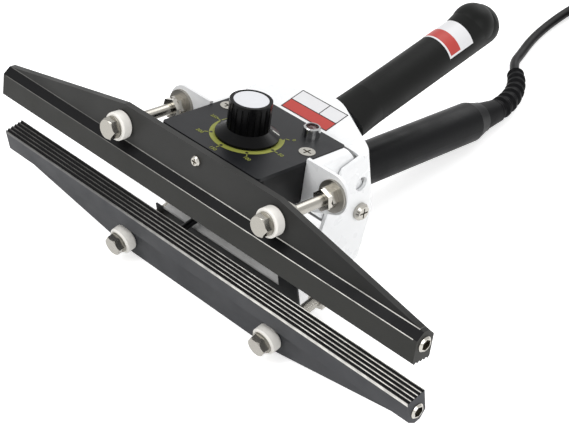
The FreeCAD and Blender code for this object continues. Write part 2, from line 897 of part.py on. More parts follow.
def lower_grip():
    """The sleeve of the lower handle, drawn in at its end around the cord boot."""
    front = inner_rear + collar_length + face_gap
    neck = lower_grip_neck_d / 2
    profile = [
        (tube_r + fixed_gap, front),
        (grip_r, front),
        (grip_r, lower_grip_end),
        (neck, lower_neck_end - lower_grip_neck),
        (neck, lower_neck_end),
        (boot_spigot_d / 2 + fixed_gap, lower_neck_end),
        (boot_spigot_d / 2 + fixed_gap, lower_tube_end + face_gap),
        (tube_r + fixed_gap, lower_tube_end + face_gap),
    ]
    return lathe(profile, vec(0, 0, -handle_offset), ALONG_Y)


def grip_section(radius, place, height):
    """A circle across a grip, for a loft."""
    wire = Part.Wire([Part.Circle(vec(0, 0, 0), ALONG_Z, radius).toShape()])
    wire.Placement = FreeCAD.Placement(vec(0, place, height), PLANES["xz"])
    return wire


def upper_grip():
    """The closed sleeve of the upper handle, flattened where it meets the frame."""
    root = Part.Ellipse(vec(0, 0, 0), upper_root_width / 2, upper_root_height / 2).toShape()
    root_wire = Part.Wire([root])
    root_wire.Placement = FreeCAD.Placement(vec(0, upper_grip_front, handle_offset), PLANES["xz"])
    flat = Part.makeLoft([root_wire, grip_section(grip_r, upper_grip_round, handle_offset)], True)
    centre = vec(0, 0, handle_offset)
    straight = rod(grip_r, vec(0, upper_grip_round, handle_offset), ALONG_Y,
                   upper_grip_end - upper_grip_dome - upper_grip_round)
    steps = 6
    dome_angles = [math.pi / 2 * step / steps for step in range(steps + 1)]
    dome_base = upper_grip_end - upper_grip_dome
    dome = []
    for angle in dome_angles[:-1]:
        dome.append((grip_r * math.cos(angle), dome_base + upper_grip_dome * math.sin(angle)))
    dome.append((0, upper_grip_end))
    cap = lathe([(0, dome_base)] + dome, centre, ALONG_Y)
    swell_height = handle_offset + grip_swell_rise
    flare = Part.makeLoft([grip_section(grip_r - grip_swell_sink, grip_swell_start, handle_offset),
                           grip_section(grip_swell_d / 2 - grip_swell_sink, grip_swell_place, swell_height)], True)
    swell = Part.makeSphere(grip_swell_d / 2, vec(0, grip_swell_place, swell_height))
    body = fused([flat, straight, cap, flare, swell])
    bore = rod(tube_r + fixed_gap, vec(0, upper_grip_front, handle_offset), ALONG_Y,
               upper_tube_end + face_gap - upper_grip_front)
    return body.cut(bore)


# Control box

def over_boss(z):
    """A point over the screw boss on the +X side of the box."""
    return vec(panel_screw_spacing / 2, panel_screw_y, z)


def rounded_plan(half, front, back, low, high, corner):
    """A plate in plan with rounded corners, even about the middle."""
    corners = [(-half, front, corner), (half, front, corner), (half, back, corner), (-half, back, corner)]
    return slab(corners, "xy", low, high)


def control_box():
    """The open-topped box under the panel, with bosses for its screws and holes for the leads."""
    shell = rounded_plan(box_half, box_front, box_back, box_bottom, panel_bottom, box_corner)
    room = rounded_plan(box_half - box_wall, box_front + box_wall, box_back - box_wall, box_bottom + box_wall,
                        panel_bottom, box_corner - box_wall)
    bosses = on_both_sides(rod(boss_d / 2, over_boss(box_bottom), ALONG_Z, panel_bottom - box_bottom))
    body = fused([shell.cut(room)] + bosses)
    cuts = on_both_sides(countersunk(fixed_gap, panel_thickness + panel_screw_length + face_gap))
    cuts += on_both_sides(rod(box_screw_d / 2 + fixed_gap, over_boss(box_bottom), ALONG_Z, box_screw_length))
    cuts.append(rod(grommet_neck_d / 2 + fixed_gap, vec(0, supply_entry_y, box_bottom), ALONG_Z, box_wall))
    lead_hole = heater_lead_d / 2 + lead_gap
    cuts.append(rod(lead_hole, vec(heater_lead_x, upper_lead_entry_y, box_bottom), ALONG_Z, box_wall))
    cuts.append(rod(lead_hole, vec(-heater_lead_x, lower_lead_entry_y, box_bottom), ALONG_Z, box_wall))
    return body.cut(group(cuts))


def control_panel():
    """The front plate, with holes for the thermostat, the lamp and two countersunk screws."""
    plate = rounded_plan(box_half, panel_front, box_back, panel_bottom, panel_top, box_corner)
    cuts = [rod(thermostat_bush_d / 2 + fixed_gap, vec(0, knob_y, panel_bottom), ALONG_Z, panel_thickness)]
    lamp = vec(indicator_x, indicator_y, panel_bottom)
    cuts.append(rod(indicator_barrel_d / 2 + fixed_gap, lamp, ALONG_Z, panel_thickness))
    cuts += on_both_sides(countersunk(fixed_gap, panel_thickness))
    return plate.cut(group(cuts))


def countersunk(gap, length):
    """A countersunk screw's outline, drawn out by a gap, down to a length under the panel's top."""
    head = panel_screw_head_d / 2 + gap
    shank = panel_screw_d / 2 + gap
    profile = [
        (0, -length),
        (shank, -length),
        (shank, shank - head),
        (head, 0),
        (head, panel_screw_proud),
        (0, panel_screw_proud),
    ]
    return lathe(profile, over_boss(panel_top), ALONG_Z)


def panel_screws():
    """Countersunk cross-head screws that hold the panel on the box."""
    screw = countersunk(0, panel_thickness + panel_screw_length)
    recess = cross_recess(panel_screw_head_d, over_boss(panel_top + panel_screw_proud), ALONG_Z)
    return group(on_both_sides(screw.cut(recess)))


def box_screws():
    """Screws from below that hold the box on its cradle."""
    seat = over_boss(box_bottom - sheet)
    down = vec(0, 0, -1)
    screw = pan_screw(box_screw_head_d, box_screw_head_height, box_screw_d, box_screw_length, seat, down)
    return group(on_both_sides(screw))


def thermostat():
    """The adjustable thermostat under the panel, with its threaded bush."""
    half = thermostat_size / 2
    low = panel_bottom - thermostat_height
    body = block((-half, half), (knob_y - half, knob_y + half), (low, panel_bottom))
    bush_length = panel_thickness + thermostat_bush_proud
    bush = rod(thermostat_bush_d / 2, vec(0, knob_y, panel_bottom), ALONG_Z, bush_length)
    bore_start = vec(0, knob_y, shaft_bottom - face_gap)
    bore = rod(thermostat_shaft_d / 2 + running_gap, bore_start, ALONG_Z, thermostat_shaft_length)
    return body.fuse(bush).cut(bore)


def thermostat_nut():
    """The nut that clamps the thermostat to the panel, hidden under the knob."""
    start = vec(0, knob_y, panel_top)
    nut = hex_bar(thermostat_nut_flats, start, ALONG_Z, thermostat_nut_height)
    return nut.cut(rod(thermostat_bush_d / 2 + fixed_gap, start, ALONG_Z, thermostat_nut_height))


def thermostat_shaft():
    """The spindle that the knob turns."""
    return rod(thermostat_shaft_d / 2, vec(0, knob_y, shaft_bottom), ALONG_Z, thermostat_shaft_length)


def control_knob():
    """The fluted knob with its sloping skirt, hollow over the nut."""
    skirt = knob_skirt_d / 2
    foot = knob_body_d / 2
    crown = knob_top_d / 2
    profile = [
        (0, knob_bottom),
        (skirt, knob_bottom),
        (skirt, knob_bottom + knob_skirt_edge),
        (foot, knob_bottom + knob_skirt_edge + knob_skirt_rise),
        (crown, knob_top),
        (0, knob_top),
    ]
    body = lathe(profile, vec(0, knob_y, 0), ALONG_Z)
    cap_seat = vec(0, knob_y, knob_top - knob_cap_thickness)
    cuts = [rod(knob_cap_d / 2 + fixed_gap, cap_seat, ALONG_Z, knob_cap_thickness)]
    cuts.append(rod(knob_recess_d / 2, vec(0, knob_y, knob_bottom), ALONG_Z, knob_recess_depth))
    cuts.append(rod(thermostat_shaft_d / 2 + fixed_gap, vec(0, knob_y, knob_bottom), ALONG_Z, knob_height))
    flute_foot = knob_bottom + knob_skirt_edge + knob_skirt_rise
    lean = vec(crown - foot, 0, knob_top - flute_foot).normalize()
    flute = rod(knob_flute_d / 2, vec(foot, knob_y, flute_foot), lean, knob_top - knob_rim - flute_foot)
    for step in range(knob_flutes):
        copy = flute.copy()
        copy.rotate(vec(0, knob_y, 0), ALONG_Z, 360 * step / knob_flutes)
        cuts.append(copy)
    return body.cut(group(cuts))


def knob_cap():
    """The bright disc let into the knob's top."""
    return rod(knob_cap_d / 2, vec(0, knob_y, knob_top - knob_cap_thickness), ALONG_Z, knob_cap_thickness)


def over_lamp(z):
    """A point on the axis of the indicator lamp."""
    return vec(indicator_x, indicator_y, z)


lamp_bore = indicator_barrel_d / 2 - indicator_wall


def indicator_bezel():
    """The lamp's bright collar and its threaded barrel."""
    rim = indicator_d / 2
    crown = indicator_top_d / 2
    barrel = indicator_barrel_d / 2
    profile = [
        (lamp_bore, -panel_thickness - indicator_barrel_length),
        (barrel, -panel_thickness - indicator_barrel_length),
        (barrel, 0),
        (rim, 0),
        (crown, indicator_height - indicator_bevel),
        (crown - indicator_bevel, indicator_height),
        (lamp_bore, indicator_height),
    ]
    return lathe(profile, over_lamp(panel_top), ALONG_Z)


def indicator_lens():
    """The red lens inside the collar, with its lamp body below."""
    radius = lamp_bore - fixed_gap
    seat = indicator_height - indicator_lens_sink
    profile = [
        (0, -panel_thickness),
        (radius, -panel_thickness),
        (radius, seat),
        (radius / 2, seat + indicator_lens_dome * 0.75),
        (0, seat + indicator_lens_dome),
    ]
    return lathe(profile, over_lamp(panel_top), ALONG_Z)


def indicator_nut():
    """The nut that holds the lamp under the panel."""
    start = over_lamp(panel_bottom - indicator_nut_height)
    nut = hex_bar(indicator_nut_flats, start, ALONG_Z, indicator_nut_height)
    return nut.cut(rod(indicator_barrel_d / 2 + fixed_gap, start, ALONG_Z, indicator_nut_height))


def terminal_block():
    """The terminal strip that joins the supply lead to the heaters, bored for its wires."""
    left = -box_half + box_wall + terminal_gap
    back = box_back - box_wall - terminal_gap
    floor = box_bottom + box_wall
    front = back - terminal_width
    strip = block((left, left + terminal_length), (front, back), (floor, floor + terminal_height))
    pitch = terminal_length / terminal_ways
    start = vec(left + pitch / 2, front, floor + terminal_height / 2)
    bores = [rod(terminal_bore_d / 2, start.add(ALONG_X * (pitch * way)), ALONG_Y, terminal_width)
             for way in range(terminal_ways)]
    return strip.cut(group(bores))


# Jaw sensor

def sensor_block():
    """The temperature sensor pressed on the back of the upper web."""
    low = sensor_z - sensor_height / 2
    half = sensor_length / 2
    body = block((-half, half), (web_back, web_back + sensor_thickness), (low, low + sensor_height))
    hole = rod(sensor_screw_d / 2 + fixed_gap, vec(0, web_back, sensor_z), ALONG_Y, sensor_thickness)
    return body.cut(hole)


def sensor_screw():
    """The screw that holds the sensor on the web."""
    length = web_back - web_front + sensor_thickness
    seat = vec(0, web_front, sensor_z)
    return pan_screw(sensor_head_d, sensor_head_height, sensor_screw_d, length, seat, vec(0, -1, 0))


# Leads inside the pliers

def lead_grommet():
    """The rubber bush where the supply lead enters the box."""
    neck = grommet_neck_d / 2
    flange = grommet_flange_d / 2
    hole = supply_lead_d / 2 + fixed_gap
    depth = sheet + box_wall
    profile = [
        (hole, -grommet_flange),
        (flange, -grommet_flange),
        (flange, 0),
        (neck, 0),
        (neck, depth),
        (flange, depth),
        (flange, depth + grommet_flange),
        (hole, depth + grommet_flange),
    ]
    return lathe(profile, vec(0, supply_entry_y, box_bottom - sheet), ALONG_Z)


def supply_lead():
    """The supply lead through the lower handle and up into the box."""
    low = -handle_offset - supply_drop
    start_y = lower_tube_end
    points = [
        vec(0, start_y, -handle_offset),
        vec(0, start_y - supply_level_run, -handle_offset - supply_sink),
        vec(0, start_y - supply_level_run - supply_sink_run, low),
        vec(0, lower_tube_front - supply_knee_gap, low),
        vec(0, supply_entry_y + supply_knee_back, low + supply_knee_rise),
        vec(0, supply_entry_y, low + supply_climb),
        vec(0, supply_entry_y, box_bottom + supply_end_rise),
    ]
    return lead(points, supply_lead_d)


def upper_heater_lead():
    """The upper heater's lead, from the back of the bar up into the box."""
    start = bore_y + heater_d / 2 + lead_gap
    top = box_bottom + heater_lead_end_rise
    points = [
        vec(heater_lead_x, start, lead_z),
        vec(heater_lead_x, upper_lead_entry_y, lead_z),
        vec(heater_lead_x, upper_lead_entry_y, top),
    ]
    return lead(points, heater_lead_d)


def lower_heater_lead():
    """The lower heater's lead, slack between the open jaw and the box, drawn with the pliers open."""
    start = bore_y + heater_d / 2 + lead_gap
    points = [
        swing_point(vec(-heater_lead_x, start, -lead_z)),
        swing_point(vec(-heater_lead_x, start + heater_lead_run, -lead_z)),
        vec(-heater_lead_x, lower_lead_entry_y, -lead_z),
        vec(-heater_lead_x, lower_lead_entry_y, box_bottom + heater_lead_end_rise),
    ]
    radii = [min(radius, heater_lead_bend) for radius in route_radii(points)]
    return swept(arc_edges(points, radii), heater_lead_d)


# How the open pliers stand: on the front edge of the lower web and the end of the lower grip
web_contact = swing_point(vec(0, web_front, -web_height))
grip_contact = vec(0, lower_grip_end, -handle_offset - grip_r)
standing_tilt = math.degrees(math.atan2(grip_contact.z - web_contact.z, grip_contact.y - web_contact.y))
tilt = FreeCAD.Rotation(ALONG_X, -standing_tilt)


upper_arm = {
    "upper_jaw": jaw(False),
    "upper_heater": heater(),
    "upper_end_plugs": end_plugs(),
    "upper_jaw_bolts": jaw_bolts(),
    "upper_bolt_washers": group(ring_on_bolts(washer_d, head_seat, washer_thickness)),
    "upper_front_bushes": bushes(bush_d, bush_front, front_bush_length),
    "upper_rear_bushes": bushes(rear_bush_d, web_back, rear_bush_length),
    "upper_jam_nuts": jam_nuts(),
    "upper_flange_nuts": flange_nuts(),
    "upper_flange_washers": flange_washers(),
    "upper_frame": upper_frame(),
    "pivot_shaft": pivot_shaft(),
    "pivot_screws": pivot_screws(),
    "thrust_washers": thrust_washers(),
    "return_spring": return_spring(),
    "lower_handle_tube": lower_handle_tube(),
    "lower_handle_grip": lower_grip(),
    "lower_handle_screw": handle_screw(inner_rear + collar_length / 2, -handle_offset, vec(0, 0, -1)),
    "control_box": control_box(),
    "control_panel": control_panel(),
    "panel_screws": panel_screws(),
    "box_screws": box_screws(),
    "thermostat": thermostat(),
    "thermostat_nut": thermostat_nut(),
    "thermostat_shaft": thermostat_shaft(),
    "control_knob": control_knob(),
    "knob_cap": knob_cap(),
    "indicator_bezel": indicator_bezel(),
    "indicator_lens": indicator_lens(),
    "indicator_nut": indicator_nut(),
    "terminal_block": terminal_block(),
    "sensor_block": sensor_block(),
    "sensor_screw": sensor_screw(),
    "lead_grommet": lead_grommet(),
    "supply_lead": supply_lead(),
    "upper_heater_lead": upper_heater_lead(),
    "lower_heater_lead": lower_heater_lead(),
}

lower_arm = {
    "lower_jaw": flip(jaw(True)),
    "lower_heater": flip(heater()),
    "lower_end_plugs": flip(end_plugs()),
    "lower_jaw_bolts": flip(jaw_bolts()),
    "lower_bolt_washers": flip(group(ring_on_bolts(washer_d, head_seat, washer_thickness))),
    "lower_front_bushes": flip(bushes(bush_d, bush_front, front_bush_length)),
    "lower_rear_bushes": flip(bushes(rear_bush_d, web_back, rear_bush_length)),
    "lower_jam_nuts": flip(jam_nuts()),
    "lower_flange_nuts": flip(flange_nuts()),
    "lower_flange_washers": flip(flange_washers()),
    "lower_frame": lower_frame(),
    "upper_handle_tube": upper_handle_tube(),
    "upper_handle_grip": upper_grip(),
    "upper_handle_screw": handle_screw(upper_tube_front + collar_length / 3, handle_offset, ALONG_Z),
}

nodes = dict(upper_arm)
for name, shape in lower_arm.items():
    opened = shape.copy()
    opened.rotate(vec(0, pivot_y, pivot_z), ALONG_X, open_angle)
    nodes[name] = opened
for shape in nodes.values():
    shape.rotate(vec(0, 0, 0), ALONG_X, -standing_tilt)

extent = Part.makeCompound(list(nodes.values())).optimalBoundingBox(False)
shift = vec(-(extent.XMin + extent.XMax) / 2, -(extent.YMin + extent.YMax) / 2, -tilt.multVec(web_contact).z)
for shape in nodes.values():
    shape.translate(shift)


def standing(point):
    """Where a point of the upper arm is once the pliers stand."""
    return tilt.multVec(point).add(shift)


# Cord boot: a tapered collar on the lower grip's end, then ribs that bend and taper
boot_start = standing(vec(0, lower_neck_end, -handle_offset))
boot_axis = tilt.multVec(ALONG_Y)
boot_bend_start = boot_start.add(boot_axis * boot_collar_length)


def boot_point(fraction):
    """A point on the middle line of the boot's bent stretch."""
    angle = math.radians(boot_bend_angle) * fraction
    x = -boot_bend_radius * (1 - math.cos(angle))
    y = boot_bend_radius * math.sin(angle)
    drop = (boot_bend_start.z - boot_tip_height) * fraction
    return boot_bend_start.add(vec(x, y, -drop))


def boot_direction(fraction):
    """The direction of the boot's middle line."""
    if fraction == 0:
        return boot_axis
    nudge = 1e-4
    return boot_point(fraction + nudge).sub(boot_point(fraction - nudge)).normalize()


def boot_ring(radius, fraction):
    """A circle square to the boot's middle line, with its X axis kept level."""
    direction = boot_direction(fraction)
    heading = math.degrees(math.atan2(-direction.x, direction.y))
    pitch = math.degrees(math.asin(direction.z))
    turn = FreeCAD.Rotation(ALONG_Z, heading).multiply(FreeCAD.Rotation(ALONG_X, pitch - 90))
    ring = Part.Wire([Part.makeCircle(radius)])
    ring.Placement = FreeCAD.Placement(boot_point(fraction), turn)
    return ring


def cord_boot():
    """The ribbed strain relief moulded on the cord, with a spigot inside the grip's neck."""
    rings = []
    steps = boot_ribs * 4
    for step in range(steps + 1):
        fraction = step / steps
        radius = (boot_rib_d + (boot_tip_d - boot_rib_d) * fraction) / 2
        if step % 4 in (2, 3):
            radius -= boot_groove
        rings.append(boot_ring(radius, fraction))
    ribs = Part.makeLoft(rings, True, True)
    collar = Part.makeCone(boot_collar_d / 2, boot_rib_d / 2, boot_collar_length, boot_start, boot_axis)
    spigot_length = lower_neck_end - lower_tube_end - face_gap
    spigot = rod(boot_spigot_d / 2, boot_start.sub(boot_axis * spigot_length), boot_axis, spigot_length)
    return fused([collar, spigot, ribs])


# Mains cord: from the boot's tip along the ground into a neat coil, then to the plug
boot_tip = boot_point(1.0)
tip_direction = boot_direction(1.0)
coil_centre = vec(coil_x, coil_y, coil_base)


def coil_point(turn):
    """A point of the coil, counted in turns from its left side: inwards, up one layer, and out again."""
    angle = math.pi - 2 * math.pi * turn
    radius = coil_reversal_radius + coil_pitch * abs(turn - coil_turns_in)
    climb = min(1.0, max(0.0, 2 * (turn - coil_turns_in) + 0.5))
    ease = climb * climb * (3 - 2 * climb)
    rise = coil_layer_rise * ease
    return coil_centre.add(vec(radius * math.cos(angle), radius * math.sin(angle), rise))


def cord_coil_edges():
    """The coil's middle line, with a straight run at each end."""
    turns = coil_turns_in + coil_turns_out
    edges = winding_edges(coil_point, 0.0, turns, int(round(turns * 4)))
    start = edges[0].firstVertex().Point
    end = edges[-1].lastVertex().Point
    into = edges[0].tangentAt(edges[0].FirstParameter)
    out = edges[-1].tangentAt(edges[-1].LastParameter)
    entry = Part.LineSegment(start.sub(into * coil_entry_run), start).toShape()
    leave = Part.LineSegment(end, end.add(out * coil_exit_run)).toShape()
    return [entry] + edges + [leave]


coil_edges = cord_coil_edges()
coil_entry = coil_edges[0].firstVertex().Point
coil_heading = coil_edges[0].tangentAt(coil_edges[0].FirstParameter)
plug_start = coil_edges[-1].lastVertex().Point
plug_axis = coil_edges[-1].tangentAt(coil_edges[-1].LastParameter)
cord_route = [
    boot_tip,
    boot_tip.add(tip_direction * cord_tip_run),
    vec(-34.5, 201.5, 3.8),
    vec(-41.3, 220.5, 3.2),
    vec(-45.6, 241.5, 3.1),
    coil_entry.sub(coil_heading * coil_approach_run),
    coil_entry,
]


def coil_tie():
    """The strap that holds the coil together."""
    radii = [coil_reversal_radius - cord_d / 2 - tie_gap, coil_outer_radius + cord_d / 2 + tie_gap]
    low = coil_base - cord_d / 2 - tie_gap
    high = coil_base + coil_layer_rise + cord_d / 2 + tie_gap
    half = tie_width / 2
    outer = block((radii[0] - tie_thickness, radii[1] + tie_thickness), (-half, half),
                  (low - tie_thickness, high + tie_thickness))
    strap = outer.cut(block((radii[0], radii[1]), (-half, half), (low, high)))
    strap.rotate(vec(0, 0, 0), ALONG_Z, tie_bearing)
    strap.translate(vec(coil_centre.x, coil_centre.y, 0))
    return strap


def plug_place(shape):
    """Moves a piece drawn along +Y from the origin to the plug's place."""
    bearing = math.degrees(math.atan2(-plug_axis.x, plug_axis.y))
    shape.rotate(vec(0, 0, 0), ALONG_Z, bearing)
    shape.translate(plug_start)
    return shape


def plug_body():
    """The moulded plug with its tapered cord relief."""
    half = plug_width / 2
    front = plug_relief_length
    face = front + plug_length
    corners = [
        (-half, front, plug_corner),
        (half, front, plug_corner),
        (half, face, plug_edge),
        (-half, face, plug_edge),
    ]
    body = slab(corners, "xy", -plug_height / 2, plug_height / 2)
    reach = plug_relief_length + plug_edge
    relief = Part.makeCone(plug_relief_d / 2, plug_relief_base_d / 2, reach, vec(0, 0, 0), ALONG_Y)
    return plug_place(fused([body, relief]))


def plug_pins():
    """The plug's two round contact pins."""
    front = plug_relief_length + plug_length
    round_end = plug_pin_d / 4
    radius = plug_pin_d / 2
    profile = [
        (0, 0),
        (radius, 0),
        (radius, plug_pin_length - round_end),
        (radius - round_end, plug_pin_length),
        (0, plug_pin_length),
    ]
    pin = lathe(profile, vec(plug_pin_spacing / 2, front, 0), ALONG_Y)
    return plug_place(group(on_both_sides(pin)))


cord_edges = arc_edges(cord_route, route_radii(cord_route))
cord_length = sum(edge.Length for edge in cord_edges)
coil_length = sum(edge.Length for edge in coil_edges)
nodes["cord_boot"] = cord_boot()
nodes["power_cord"] = swept(cord_edges, cord_d)
nodes["cord_coil"] = swept(coil_edges, cord_d)
nodes["coil_tie"] = coil_tie()
nodes["plug_body"] = plug_body()
nodes["plug_pins"] = plug_pins()

print("cord arc radii", [round(radius, 1) for radius in route_radii(cord_route)])
print("coil gap", round(least_gap(coil_edges, cord_d, math.pi * coil_reversal_radius), 2))
print("cord length", round(cord_length + coil_length, 1), "of which coiled", round(coil_length, 1))
print("cord route", [[round(value, 3) for value in point] for point in cord_route])
for name, length in (("power_cord", cord_length), ("cord_coil", coil_length)):
    ideal = math.pi * cord_d ** 2 / 4 * length
    print(name, "volume ratio", round(nodes[name].Volume / ideal, 4))
print("standing tilt", round(standing_tilt, 3), "shift", [round(value, 3) for value in shift])

os.makedirs("parts", exist_ok=True)
for name, shape in nodes.items():
    shape.exportStep("parts/" + name + ".step")
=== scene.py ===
"""Studio scene of hand-held crimp sealing pliers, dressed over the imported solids.

Every length in this file is in millimetres until it is handed to Blender, which works in metres.
"""

from __future__ import annotations

import json
import logging
import math
from dataclasses import dataclass
from enum import Enum
from typing import Any, Sequence

import bmesh
import bpy
from mathutils import Matrix, Vector

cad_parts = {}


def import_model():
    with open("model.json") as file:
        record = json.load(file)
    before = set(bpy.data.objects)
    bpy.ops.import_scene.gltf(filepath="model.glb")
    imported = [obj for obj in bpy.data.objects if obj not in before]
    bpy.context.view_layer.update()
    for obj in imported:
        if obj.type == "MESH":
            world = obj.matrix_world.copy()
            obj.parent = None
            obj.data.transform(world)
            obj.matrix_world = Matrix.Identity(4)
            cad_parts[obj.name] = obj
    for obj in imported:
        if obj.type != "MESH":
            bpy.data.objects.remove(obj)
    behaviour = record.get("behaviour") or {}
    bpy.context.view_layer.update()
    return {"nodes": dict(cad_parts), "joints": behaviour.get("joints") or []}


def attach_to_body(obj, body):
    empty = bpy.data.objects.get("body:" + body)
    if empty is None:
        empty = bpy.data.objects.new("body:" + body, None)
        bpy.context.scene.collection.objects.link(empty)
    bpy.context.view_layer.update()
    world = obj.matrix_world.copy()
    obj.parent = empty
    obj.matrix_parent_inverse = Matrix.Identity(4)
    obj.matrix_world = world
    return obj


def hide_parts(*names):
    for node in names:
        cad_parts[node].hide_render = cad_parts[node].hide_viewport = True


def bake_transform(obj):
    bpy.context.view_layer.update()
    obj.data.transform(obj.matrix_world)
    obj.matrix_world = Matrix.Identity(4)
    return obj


LOG = logging.getLogger("sealing_pliers")
MM = 0.001
WHITE = "#ffffff"
BLACK = "#000000"

Pair = tuple[float, float]
Point = tuple[float, float, float]
Tree = bpy.types.NodeTree
Socket = bpy.types.NodeSocket
Piece = bpy.types.Object
Material = bpy.types.Material

# The knob's axis on the panel, and the bearing of the scale's low end in degrees from the right
KNOB_AXIS: Pair = (0.0, 37.0)
SCALE_START = 46.0


class Body(Enum):
    """The rigid bodies of the pliers."""

    UPPER = "upper_arm"
    LOWER = "lower_arm"
    KNOB = "knob"


class Arm(Enum):
    """The two frames that pieces are drawn in, both with the pliers closed."""

    UPPER = "upper"
    LOWER = "lower"


# ---------------------------------------------------------------- nodes


def linear(hex_colour: str) -> tuple[float, float, float, float]:
    """Turns an sRGB hex colour into linear values.

    Args:
        hex_colour: six hexadecimal digits with a leading hash.

    Returns:
        Red, green, blue and an alpha of one.
    """
    parts = [int(hex_colour[index:index + 2], 16) / 255 for index in (1, 3, 5)]
    values = [part / 12.92 if part <= 0.04045 else ((part + 0.055) / 1.055) ** 2.4 for part in parts]
    return values[0], values[1], values[2], 1.0


def add_node(tree: Tree, kind: str, inputs: dict[Any, Any] | None = None, **settings: Any) -> bpy.types.Node:
    """Adds one node with its settings, values and links.

    Args:
        tree: the node tree that takes the node.
        kind: the node's type name.
        inputs: input name or index to a value, or to another node's output socket.
        **settings: attributes of the node.

    Returns:
        The new node.
    """
    node = tree.nodes.new(kind)
    for name, value in settings.items():
        setattr(node, name, value)
    for key, value in (inputs or {}).items():
        if isinstance(value, Socket):
            tree.links.new(value, node.inputs[key])
        else:
            node.inputs[key].default_value = value
    return node


def set_stops(ramp: bpy.types.ColorRamp, stops: Sequence[tuple[float, str]]) -> None:
    """Gives a colour ramp its stops.

    Args:
        ramp: the ramp to fill.
        stops: position and sRGB hex colour of each stop.
    """
    while len(ramp.elements) < len(stops):
        ramp.elements.new(0.5)
    for element, (position, colour) in zip(ramp.elements, stops):
        element.position = position
        element.color = linear(colour)


# ---------------------------------------------------------------- forms


def linked(name: str, data: bpy.types.ID) -> Piece:
    """Makes an object at the origin and links it into the scene.

    Args:
        name: the object's name.
        data: its mesh, curve, camera or light.

    Returns:
        The new object.
    """
    piece = bpy.data.objects.new(name, data)
    bpy.context.scene.collection.objects.link(piece)
    return piece


def skin(sections: Sequence[Sequence[Point]]) -> bmesh.types.BMesh:
    """Joins cross sections with equal numbers of corners into one closed form.

    Args:
        sections: the corners of each section, in order round it.

    Returns:
        The form, closed at both ends.
    """
    form = bmesh.new()
    rows = [[form.verts.new(corner) for corner in section] for section in sections]
    for before, after in zip(rows, rows[1:]):
        for side in range(len(before)):
            beyond = (side + 1) % len(before)
            form.faces.new((before[side], before[beyond], after[beyond], after[side]))
    form.faces.new(rows[0])
    form.faces.new(rows[-1])
    return form


def route_curve(name: str, points: Sequence[Vector], diameter: float, order: int = 3) -> bpy.types.Curve:
    """Makes a round bevelled curve with the points as its control points.

    Args:
        name: the curve's name.
        points: control points in metres.
        diameter: the round section's diameter in metres.
        order: the spline's order.

    Returns:
        The curve data.
    """
    curve = bpy.data.curves.new(name, "CURVE")
    curve.dimensions = "3D"
    curve.bevel_depth = diameter / 2
    curve.bevel_resolution = 5
    curve.resolution_u = 6
    curve.use_fill_caps = True
    spline = curve.splines.new("NURBS")
    spline.points.add(len(points) - 1)
    for control, point in zip(spline.points, points):
        control.co = (point[0], point[1], point[2], 1.0)
    spline.order_u = order
    spline.use_endpoint_u = True
    return curve


def finish_tree(tree: Tree, instances: bpy.types.Node, material: Material | Socket) -> None:
    """Ends a geometry tree: makes its instances real and gives them their material.

    Args:
        tree: the geometry tree.
        instances: the node that sets out the instances.
        material: the material, or the socket that it comes from.
    """
    solid = add_node(tree, "GeometryNodeRealizeInstances", {"Geometry": instances.outputs[0]})
    dressed = add_node(tree, "GeometryNodeSetMaterial", {"Geometry": solid.outputs[0], "Material": material})
    add_node(tree, "NodeGroupOutput", {"Geometry": dressed.outputs[0]})


def attach(piece: Piece, body: Body) -> None:
    """Lets a piece ride on a body and reports it.

    Args:
        piece: the finished piece.
        body: the body that carries it.
    """
    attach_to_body(piece, body.value)
    LOG.info("%s rides on %s", piece.name, body.value)


@dataclass(frozen=True)
class ArmFrames:
    """Where the closed pliers' drawing lies in the model, for each arm with the pliers open.

    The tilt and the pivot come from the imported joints, so the dressing follows the solids.
    """

    tilt: float
    pivot: Vector
    opening: float = math.radians(16.5)
    drawn_pivot: Point = (0.0, 81.2, -2.3)

    @classmethod
    def from_joints(cls, joints: list[dict[str, Any]]) -> "ArmFrames":
        """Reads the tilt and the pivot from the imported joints.

        Args:
            joints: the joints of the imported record.

        Returns:
            The frames of both arms.
        """
        by_name = {joint["name"]: joint for joint in joints}
        axis = by_name["knob_turn"]["axis"]
        return cls(tilt=math.atan2(-axis[1], -axis[2]), pivot=Vector(by_name["jaw_hinge"]["pos_m"]))

    def matrix(self, arm: Arm) -> Matrix:
        """Gives the matrix from an arm's drawing, in metres, to the model.

        Args:
            arm: the arm whose drawing is placed.

        Returns:
            The placing matrix.
        """
        swing = self.opening if arm is Arm.LOWER else 0.0
        turn = Matrix.Rotation(swing - self.tilt, 4, "X")
        drawn = Vector(self.drawn_pivot) * MM
        return Matrix.Translation(self.pivot) @ turn @ Matrix.Translation(-drawn)

    def place(self, arm: Arm, point: Point) -> Vector:
        """Places a drawn point, in millimetres, in the model, in metres."""
        return self.matrix(arm) @ (Vector(point) * MM)


